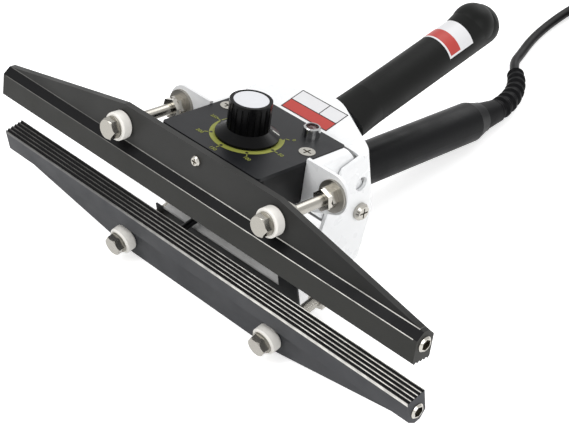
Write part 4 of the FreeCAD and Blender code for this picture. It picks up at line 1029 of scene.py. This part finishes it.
@dataclass
class HeatShield(Trim):
    """The thin shield behind the lower jaw, between the frame's ears: a bright top, with a black front and
    tab of painted shade under it.
    """

    top_span: Pair = (-43.4, 43.4)
    shade_front_span: Pair = (-50.0, 57.0)
    front: float = 22.0
    back: float = 44.0
    top: float = -10.0
    sheet: float = 1.0
    drop: float = 10.0
    tab: float = 7.5
    tab_gap: float = 0.2
    bend: float = 0.8

    def build(self) -> None:
        """Folds the bright top and hangs the black front of painted shade, with its upright tab, under the
        lip.
        """
        under = self.top - self.sheet
        inner = self.front + self.sheet
        ease = self.bend / 4
        lip = [(self.front, under), (inner, under)]
        top = [(self.back, self.top), (self.front + self.bend, self.top),
               (self.front + ease, self.top - ease), *lip, (self.back, under)]
        front = [*lip, (inner, under - self.drop), (self.front, under - self.drop)]
        tab = [*lip, (inner, under + self.tab), (self.front, under + self.tab)]
        tab_span = (self.top_span[1] + self.tab_gap, self.shade_front_span[1])
        # the black front and tab are painted shade: black sheet where the shadow under the top falls
        for name, span, profile, finish in (("top", self.top_span, top, SHIELD_STEEL),
                                            ("front", self.shade_front_span, front, PANEL_BLACK),
                                            ("tab", tab_span, tab, PANEL_BLACK)):
            form = skin([[(x, y, z) for y, z in profile] for x in span])
            piece = self.shop.from_bmesh("heat_shield_" + name, form, finish, Arm.LOWER)
            attach(piece, Body.LOWER)
        LOG.info("heat shield folded")


@dataclass
class DialScale(Trim):
    """The printed temperature scale round the knob."""

    panel_top: float = 34.2
    film: float = 0.12
    inner: float = 15.8
    outer: float = 19.0
    sweep: float = 270.0
    tick_length: float = 2.0
    tick_width: float = 0.45
    tick_gap: float = 0.4
    dot_d: float = 1.7
    dot_sides: int = 20
    dot_reach: float = 18.0
    tick_lift: float = 0.5
    dot_lift: float = 0.7
    numeral_size: float = 3.0
    numeral_reach: float = 23.6
    numerals: tuple[str, ...] = ("0", "50", "100", "150", "200", "250", "300")
    steps: int = 72

    def angle(self, fraction: float) -> float:
        """Gives the scale's angle, from its low end at the back right, clockwise from above, in radians."""
        return math.radians(SCALE_START - self.sweep * fraction)

    def spot(self, fraction: float, radius: float, lift: float) -> Point:
        """Gives a point of the scale.

        Args:
            fraction: its place along the scale, from 0 to 1.
            radius: its distance from the knob's axis.
            lift: its height over the panel.

        Returns:
            The point in the upper arm's drawing.
        """
        angle = self.angle(fraction)
        return (KNOB_AXIS[0] + radius * math.cos(angle), KNOB_AXIS[1] + radius * math.sin(angle),
                self.panel_top + lift)

    def ring(self) -> Piece:
        """Prints the coloured band.

        Returns:
            The band as a thin film.
        """
        corners = ((self.inner, 0.0), (self.outer, 0.0), (self.outer, self.film), (self.inner, self.film))
        sections = [[self.spot(step / self.steps, radius, lift) for radius, lift in corners]
                    for step in range(self.steps + 1)]
        return self.shop.from_bmesh("dial_band", skin(sections), INK_OLIVE, Arm.UPPER)

    def mark_tree(self) -> Tree:
        """Builds the tree that sets bars or round dots along part of a circle.

        Returns:
            A geometry tree with named sizes.
        """
        tree = bpy.data.node_groups.new("dial_marks", "GeometryNodeTree")
        face = tree.interface
        face.new_socket("Geometry", in_out="OUTPUT", socket_type="NodeSocketGeometry")
        for name, kind in (("Marks", "Int"), ("Radius", "Float"), ("Length", "Float"), ("Width", "Float"),
                           ("Film", "Float"), ("Start", "Float"), ("Sweep", "Float"), ("Round", "Bool"),
                           ("Ink", "Material")):
            face.new_socket(name, in_out="INPUT", socket_type="NodeSocket" + kind)
        entry = add_node(tree, "NodeGroupInput").outputs
        arc = add_node(tree, "GeometryNodeCurveArc", {
            "Resolution": entry["Marks"], "Radius": entry["Radius"], "Start Angle": entry["Start"],
            "Sweep Angle": entry["Sweep"]})
        size = add_node(tree, "ShaderNodeCombineXYZ", {
            "X": entry["Length"], "Y": entry["Width"], "Z": entry["Film"]})
        bar = add_node(tree, "GeometryNodeMeshCube", {"Size": size.outputs[0]})
        half = add_node(tree, "ShaderNodeMath", {0: entry["Width"], 1: 0.5}, operation="MULTIPLY")
        dot = add_node(tree, "GeometryNodeMeshCylinder", {
            "Vertices": self.dot_sides, "Radius": half.outputs[0], "Depth": entry["Film"]})
        mark = add_node(tree, "GeometryNodeSwitch", {
            "Switch": entry["Round"], "False": bar.outputs["Mesh"], "True": dot.outputs["Mesh"]},
            input_type="GEOMETRY")
        tangent = add_node(tree, "GeometryNodeInputTangent")
        turn = add_node(tree, "FunctionNodeAlignRotationToVector", {"Vector": tangent.outputs[0]}, axis="Y")
        spots = add_node(tree, "GeometryNodeInstanceOnPoints", {
            "Points": arc.outputs["Curve"], "Instance": mark.outputs[0], "Rotation": turn.outputs[0]})
        finish_tree(tree, spots, entry["Ink"])
        return tree

    def marks(self) -> list[Piece]:
        """Prints the tick marks outside the band and the dots on it.

        Returns:
            The ticks and the dots, each as one mesh.
        """
        tree = self.mark_tree()
        tick_reach = self.outer + self.tick_gap + self.tick_length / 2
        pieces = []
        for name, reach, width, is_round, lift, ink in (
                ("dial_ticks", tick_reach, self.tick_width, False, self.tick_lift, INK_OLIVE),
                ("dial_dots", self.dot_reach, self.dot_d, True, self.dot_lift, INK_BLACK)):
            values = {"Marks": len(self.numerals), "Radius": reach * MM, "Length": self.tick_length * MM,
                      "Width": width * MM, "Film": self.film * MM, "Start": self.angle(1.0),
                      "Sweep": math.radians(self.sweep), "Round": is_round, "Ink": self.shop.finish(ink)}
            place = Vector((*KNOB_AXIS, self.panel_top + self.film * lift)) * MM
            matrix = self.shop.frames.matrix(Arm.UPPER) @ Matrix.Translation(place)
            pieces.append(self.shop.grown(name, tree, values, ink, matrix))
        return pieces

    def numeral(self, text: str, fraction: float) -> Piece:
        """Prints one number of the scale.

        Args:
            text: the number.
            fraction: its place along the scale, from 0 to 1.

        Returns:
            The number as a thin mesh.
        """
        curve = bpy.data.curves.new("dial_number_" + text, "FONT")
        curve.body = text
        curve.size = self.numeral_size * MM
        curve.extrude = self.film / 2 * MM
        curve.align_x = "CENTER"
        curve.align_y = "CENTER"
        holder = linked("dial_number_holder", curve)
        place = Vector(self.spot(fraction, self.numeral_reach, self.film / 2)) * MM
        holder.matrix_world = self.shop.frames.matrix(Arm.UPPER) @ Matrix.Translation(place)
        return self.shop.baked(holder, "dial_number_" + text, INK_OLIVE)

    def build(self) -> None:
        """Prints the whole scale on the panel."""
        pieces = [self.ring()] + self.marks()
        for index, text in enumerate(self.numerals):
            pieces.append(self.numeral(text, index / (len(self.numerals) - 1)))
        for piece in pieces:
            attach(piece, Body.UPPER)
        LOG.info("dial scale printed in %d pieces", len(pieces))


@dataclass
class KnobPointer(Trim):
    """The white pointer line on the knob's skirt, at the low end of the scale."""

    edge_radius: float = 16.3
    edge_top: float = 35.9
    body_radius: float = 11.0
    rise: float = 3.4
    ends: Pair = (12.4, 16.0)
    width: float = 0.9
    film: float = 0.15
    sink: float = 0.05

    def build(self) -> None:
        """Lays the line on the sloping skirt."""
        slope = self.rise / (self.edge_radius - self.body_radius)
        turn = Matrix.Rotation(math.radians(SCALE_START), 3, "Z")
        half = self.width / 2
        sections = []
        for radius in self.ends:
            height = self.edge_top + (self.edge_radius - radius) * slope
            corners = ((-half, -self.sink), (half, -self.sink), (half, self.film), (-half, self.film))
            sections.append([turn @ Vector((radius, side, height + lift)) + Vector((*KNOB_AXIS, 0.0))
                             for side, lift in corners])
        pointer = self.shop.from_bmesh("knob_pointer", skin(sections), INK_WHITE, Arm.UPPER)
        attach(pointer, Body.KNOB)
        LOG.info("knob pointer laid")


@dataclass
class PlateSticker(Trim):
    """The plain two-tone sticker on the top plate, ruled with thin lines and left without print."""

    half_width: float = 16.4
    front: float = 87.6
    back: float = 104.2
    split: float = 95.2
    divider: float = 3.5
    line: float = 0.5
    plate_top: float = 32.0
    film: float = 0.12

    def build(self) -> None:
        """Lays both fields of the sticker and the lines round them."""
        half, line = self.half_width, self.line
        across = (-half, half)
        along = (self.front, self.back)
        over = self.film / 2
        patches = {
            "red": (across, (self.front, self.split), 0.0, VINYL_RED),
            "white": (across, (self.split, self.back), 0.0, VINYL_WHITE),
            "line_front": (across, (self.front, self.front + line), over, INK_BLACK),
            "line_split": (across, (self.split - line / 2, self.split + line / 2), over, INK_BLACK),
            "line_back": (across, (self.back - line, self.back), over, INK_BLACK),
            "line_left": ((-half, line - half), along, over, INK_BLACK),
            "line_right": ((half - line, half), along, over, INK_BLACK),
            "line_divider": ((self.divider, self.divider + line), (self.split, self.back), over, INK_BLACK),
        }
        for name, (sides, (near, far), lift, finish) in patches.items():
            low = self.plate_top + lift
            high = low + self.film
            form = skin([[(x, near, low), (x, far, low), (x, far, high), (x, near, high)] for x in sides])
            piece = self.shop.from_bmesh("plate_sticker_" + name, form, finish, Arm.LOWER)
            attach(piece, Body.LOWER)
        LOG.info("plate sticker laid")


@dataclass
class GripSticker(Trim):
    """The plain sticker wrapped on the upper grip near its end: white film with a red field."""

    axis_height: float = 12.3
    grip_radius: float = 12.0
    film: float = 0.12
    along: Pair = (189.2, 208.4)
    bearings: Pair = (-62.0, 74.0)
    red_along: Pair = (190.4, 198.2)
    red_inset: float = 6.0
    columns: int = 32

    def wrap(self, along: Pair, bearings: Pair, lift: float) -> bmesh.types.BMesh:
        """Wraps one field of film round the grip.

        Args:
            along: the front and back edges along the grip.
            bearings: the edges round the grip, in degrees from its top.
            lift: the film's height over the grip.

        Returns:
            The film on the grip.
        """
        under = self.grip_radius + lift
        over = under + self.film
        corners = ((along[0], under), (along[1], under), (along[1], over), (along[0], over))
        sections = []
        for column in range(self.columns + 1):
            bearing = math.radians(bearings[0] + (bearings[1] - bearings[0]) * column / self.columns)
            sections.append([(radius * math.sin(bearing), y, self.axis_height + radius * math.cos(bearing))
                             for y, radius in corners])
        return skin(sections)

    def build(self) -> None:
        """Wraps both fields of the sticker."""
        inner = (self.bearings[0] + self.red_inset, self.bearings[1] - self.red_inset)
        fields = {"white": (self.wrap(self.along, self.bearings, 0.0), VINYL_WHITE),
                  "red": (self.wrap(self.red_along, inner, self.film / 2), VINYL_RED)}
        for name, (form, finish) in fields.items():
            piece = self.shop.from_bmesh("grip_sticker_" + name, form, finish, Arm.LOWER)
            attach(piece, Body.LOWER)
        LOG.info("grip sticker wrapped")


# ---------------------------------------------------------------- studio


@dataclass(frozen=True)
class Softbox:
    """A square soft lamp that faces the pliers."""

    name: str
    place: Point
    size: float
    watts: float
    aim: Point = (0.0, 0.0, 40.0)

    def hang(self) -> None:
        """Hangs the lamp and turns it to its aim."""
        data = bpy.data.lights.new(self.name, "AREA")
        data.shape = "SQUARE"
        data.size = self.size * MM
        data.energy = self.watts
        spot = Vector(self.place) * MM
        facing = (Vector(self.aim) * MM - spot).to_track_quat("-Z", "Y")
        linked(self.name, data).matrix_world = Matrix.Translation(spot) @ facing.to_matrix().to_4x4()


@dataclass
class Studio:
    """The pale floor, soft lights and the camera at the photograph's place."""

    camera_place: Point = (470.9, -472.0, 405.2)
    camera_forward: Point = (-0.5614, 0.6507, -0.5113)
    camera_right: Point = (0.7011, 0.7022, 0.1238)
    focal_px: float = 1577.5
    frame_px: float = 569.0
    sensor: float = 36.0
    far_clip: float = 50000.0
    floor_half: float = 6000.0
    floor_glow: float = 0.55
    paper: tuple[str, str] = ("#f4f4f4", "#f7f7f7")
    paper_grain_mm: float = 25.0
    surround: float = 0.42
    lamps: tuple[Softbox, ...] = (
        Softbox("key_softbox", (-500.0, -900.0, 1300.0), 900.0, 12.2),
        Softbox("fill_softbox", (1200.0, -300.0, 700.0), 800.0, 8.0),
        Softbox("back_softbox", (-200.0, 1100.0, 900.0), 900.0, 6.6))

    @staticmethod
    def seen(tree: Tree) -> Socket:
        """Gives one for rays that look straight, by a mirror or through glass, and nothing for other rays.

        Args:
            tree: the tree that takes the nodes.

        Returns:
            A value socket.
        """
        path = add_node(tree, "ShaderNodeLightPath").outputs
        direct = add_node(tree, "ShaderNodeMath", {
            0: path["Is Camera Ray"], 1: path["Is Glossy Ray"]}, operation="MAXIMUM")
        return add_node(tree, "ShaderNodeMath", {
            0: direct.outputs[0], 1: path["Is Transmission Ray"]}, operation="MAXIMUM").outputs[0]

    def camera(self, frames: ArmFrames) -> None:
        """Sets the camera where the photograph was taken.

        Args:
            frames: where the upper arm's drawing lies.
        """
        lens = bpy.data.cameras.new("photo_camera")
        lens.sensor_fit = "HORIZONTAL"
        lens.sensor_width = self.sensor
        lens.lens = self.sensor * self.focal_px / self.frame_px
        lens.clip_end = self.far_clip * MM
        camera = linked("photo_camera", lens)
        turn = frames.matrix(Arm.UPPER).to_3x3()
        forward = (turn @ Vector(self.camera_forward)).normalized()
        right = (turn @ Vector(self.camera_right)).normalized()
        up = right.cross(forward).normalized()
        right = forward.cross(up).normalized()
        basis = Matrix((right, up, -forward)).transposed().to_4x4()
        camera.matrix_world = Matrix.Translation(frames.place(Arm.UPPER, self.camera_place)) @ basis
        bpy.context.scene.camera = camera

    def floor(self) -> None:
        """Lays the pale floor, white to the camera but still taking the shadow."""
        mesh = bpy.data.meshes.new("studio_floor")
        half = self.floor_half * MM
        corners = [(-half, -half, 0), (half, -half, 0), (half, half, 0), (-half, half, 0)]
        mesh.from_pydata(corners, [], [(0, 1, 2, 3)])
        material = bpy.data.materials.new("seamless_paper")
        material.use_nodes = True
        tree = material.node_tree
        tree.nodes.clear()
        place = add_node(tree, "ShaderNodeTexCoord").outputs["Object"]
        grain = add_node(tree, "ShaderNodeTexNoise", {
            "Vector": place, "Scale": 1.0 / (self.paper_grain_mm * MM)})
        dark, pale = (linear(colour) for colour in self.paper)
        tone = add_node(tree, "ShaderNodeMix", {
            "Factor": grain.outputs["Fac"], "A": dark, "B": pale}, data_type="RGBA")
        glow = add_node(tree, "ShaderNodeMath", {
            0: self.seen(tree), 1: self.floor_glow}, operation="MULTIPLY")
        shader = add_node(tree, "ShaderNodeBsdfPrincipled", {
            "Base Color": tone.outputs["Result"], "Roughness": 0.9, "Emission Color": linear(WHITE),
            "Emission Strength": glow.outputs[0]})
        add_node(tree, "ShaderNodeOutputMaterial", {"Surface": shader.outputs["BSDF"]})
        mesh.materials.append(material)
        linked("studio_floor", mesh)

    def world(self) -> None:
        """Sets a plain white surround of soft strength, white to the camera."""
        world = bpy.data.worlds.new("studio_world")
        bpy.context.scene.world = world
        world.use_nodes = True
        tree = world.node_tree
        tree.nodes.clear()
        strength = add_node(tree, "ShaderNodeMapRange", {
            "Value": self.seen(tree), "To Min": self.surround, "To Max": 1.0})
        back = add_node(tree, "ShaderNodeBackground", {
            "Color": linear(WHITE), "Strength": strength.outputs["Result"]})
        add_node(tree, "ShaderNodeOutputWorld", {"Surface": back.outputs["Background"]})

    def build(self, frames: ArmFrames) -> None:
        """Sets up the whole studio.

        Args:
            frames: where the arms' drawings lie.
        """
        bpy.context.scene.view_settings.view_transform = "Standard"
        self.camera(frames)
        self.world()
        self.floor()
        for lamp in self.lamps:
            lamp.hang()
        LOG.info("studio set")


def dress_nodes(shop: Shop, nodes: dict[str, Piece]) -> None:
    """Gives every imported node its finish.

    Args:
        shop: the maker of meshes and materials.
        nodes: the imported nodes.
    """
    finishes = {name: finish for finish, names in FINISHED_NODES.items() for name in names}
    for name, node in nodes.items():
        node.data.materials.clear()
        node.data.materials.append(shop.finish(finishes.get(name, PLATED)))
    LOG.info("%d packed nodes dressed", len(nodes))


def main() -> None:
    """Builds every sub-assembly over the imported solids."""
    logging.basicConfig(level=logging.INFO, format="%(name)s: %(message)s")
    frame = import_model()
    nodes = frame["nodes"]
    frames = ArmFrames.from_joints(frame["joints"])
    shop = Shop(frames)
    Studio().build(frames)
    dress_nodes(shop, nodes)
    MainsCord(shop).build(nodes)
    for trim in (ReturnSpring, LowerHeaterLead, BoltThreads, HeatShield, DialScale, KnobPointer, PlateSticker,
                 GripSticker):
        trim(shop).build()


if __name__ == "__main__":
    main()
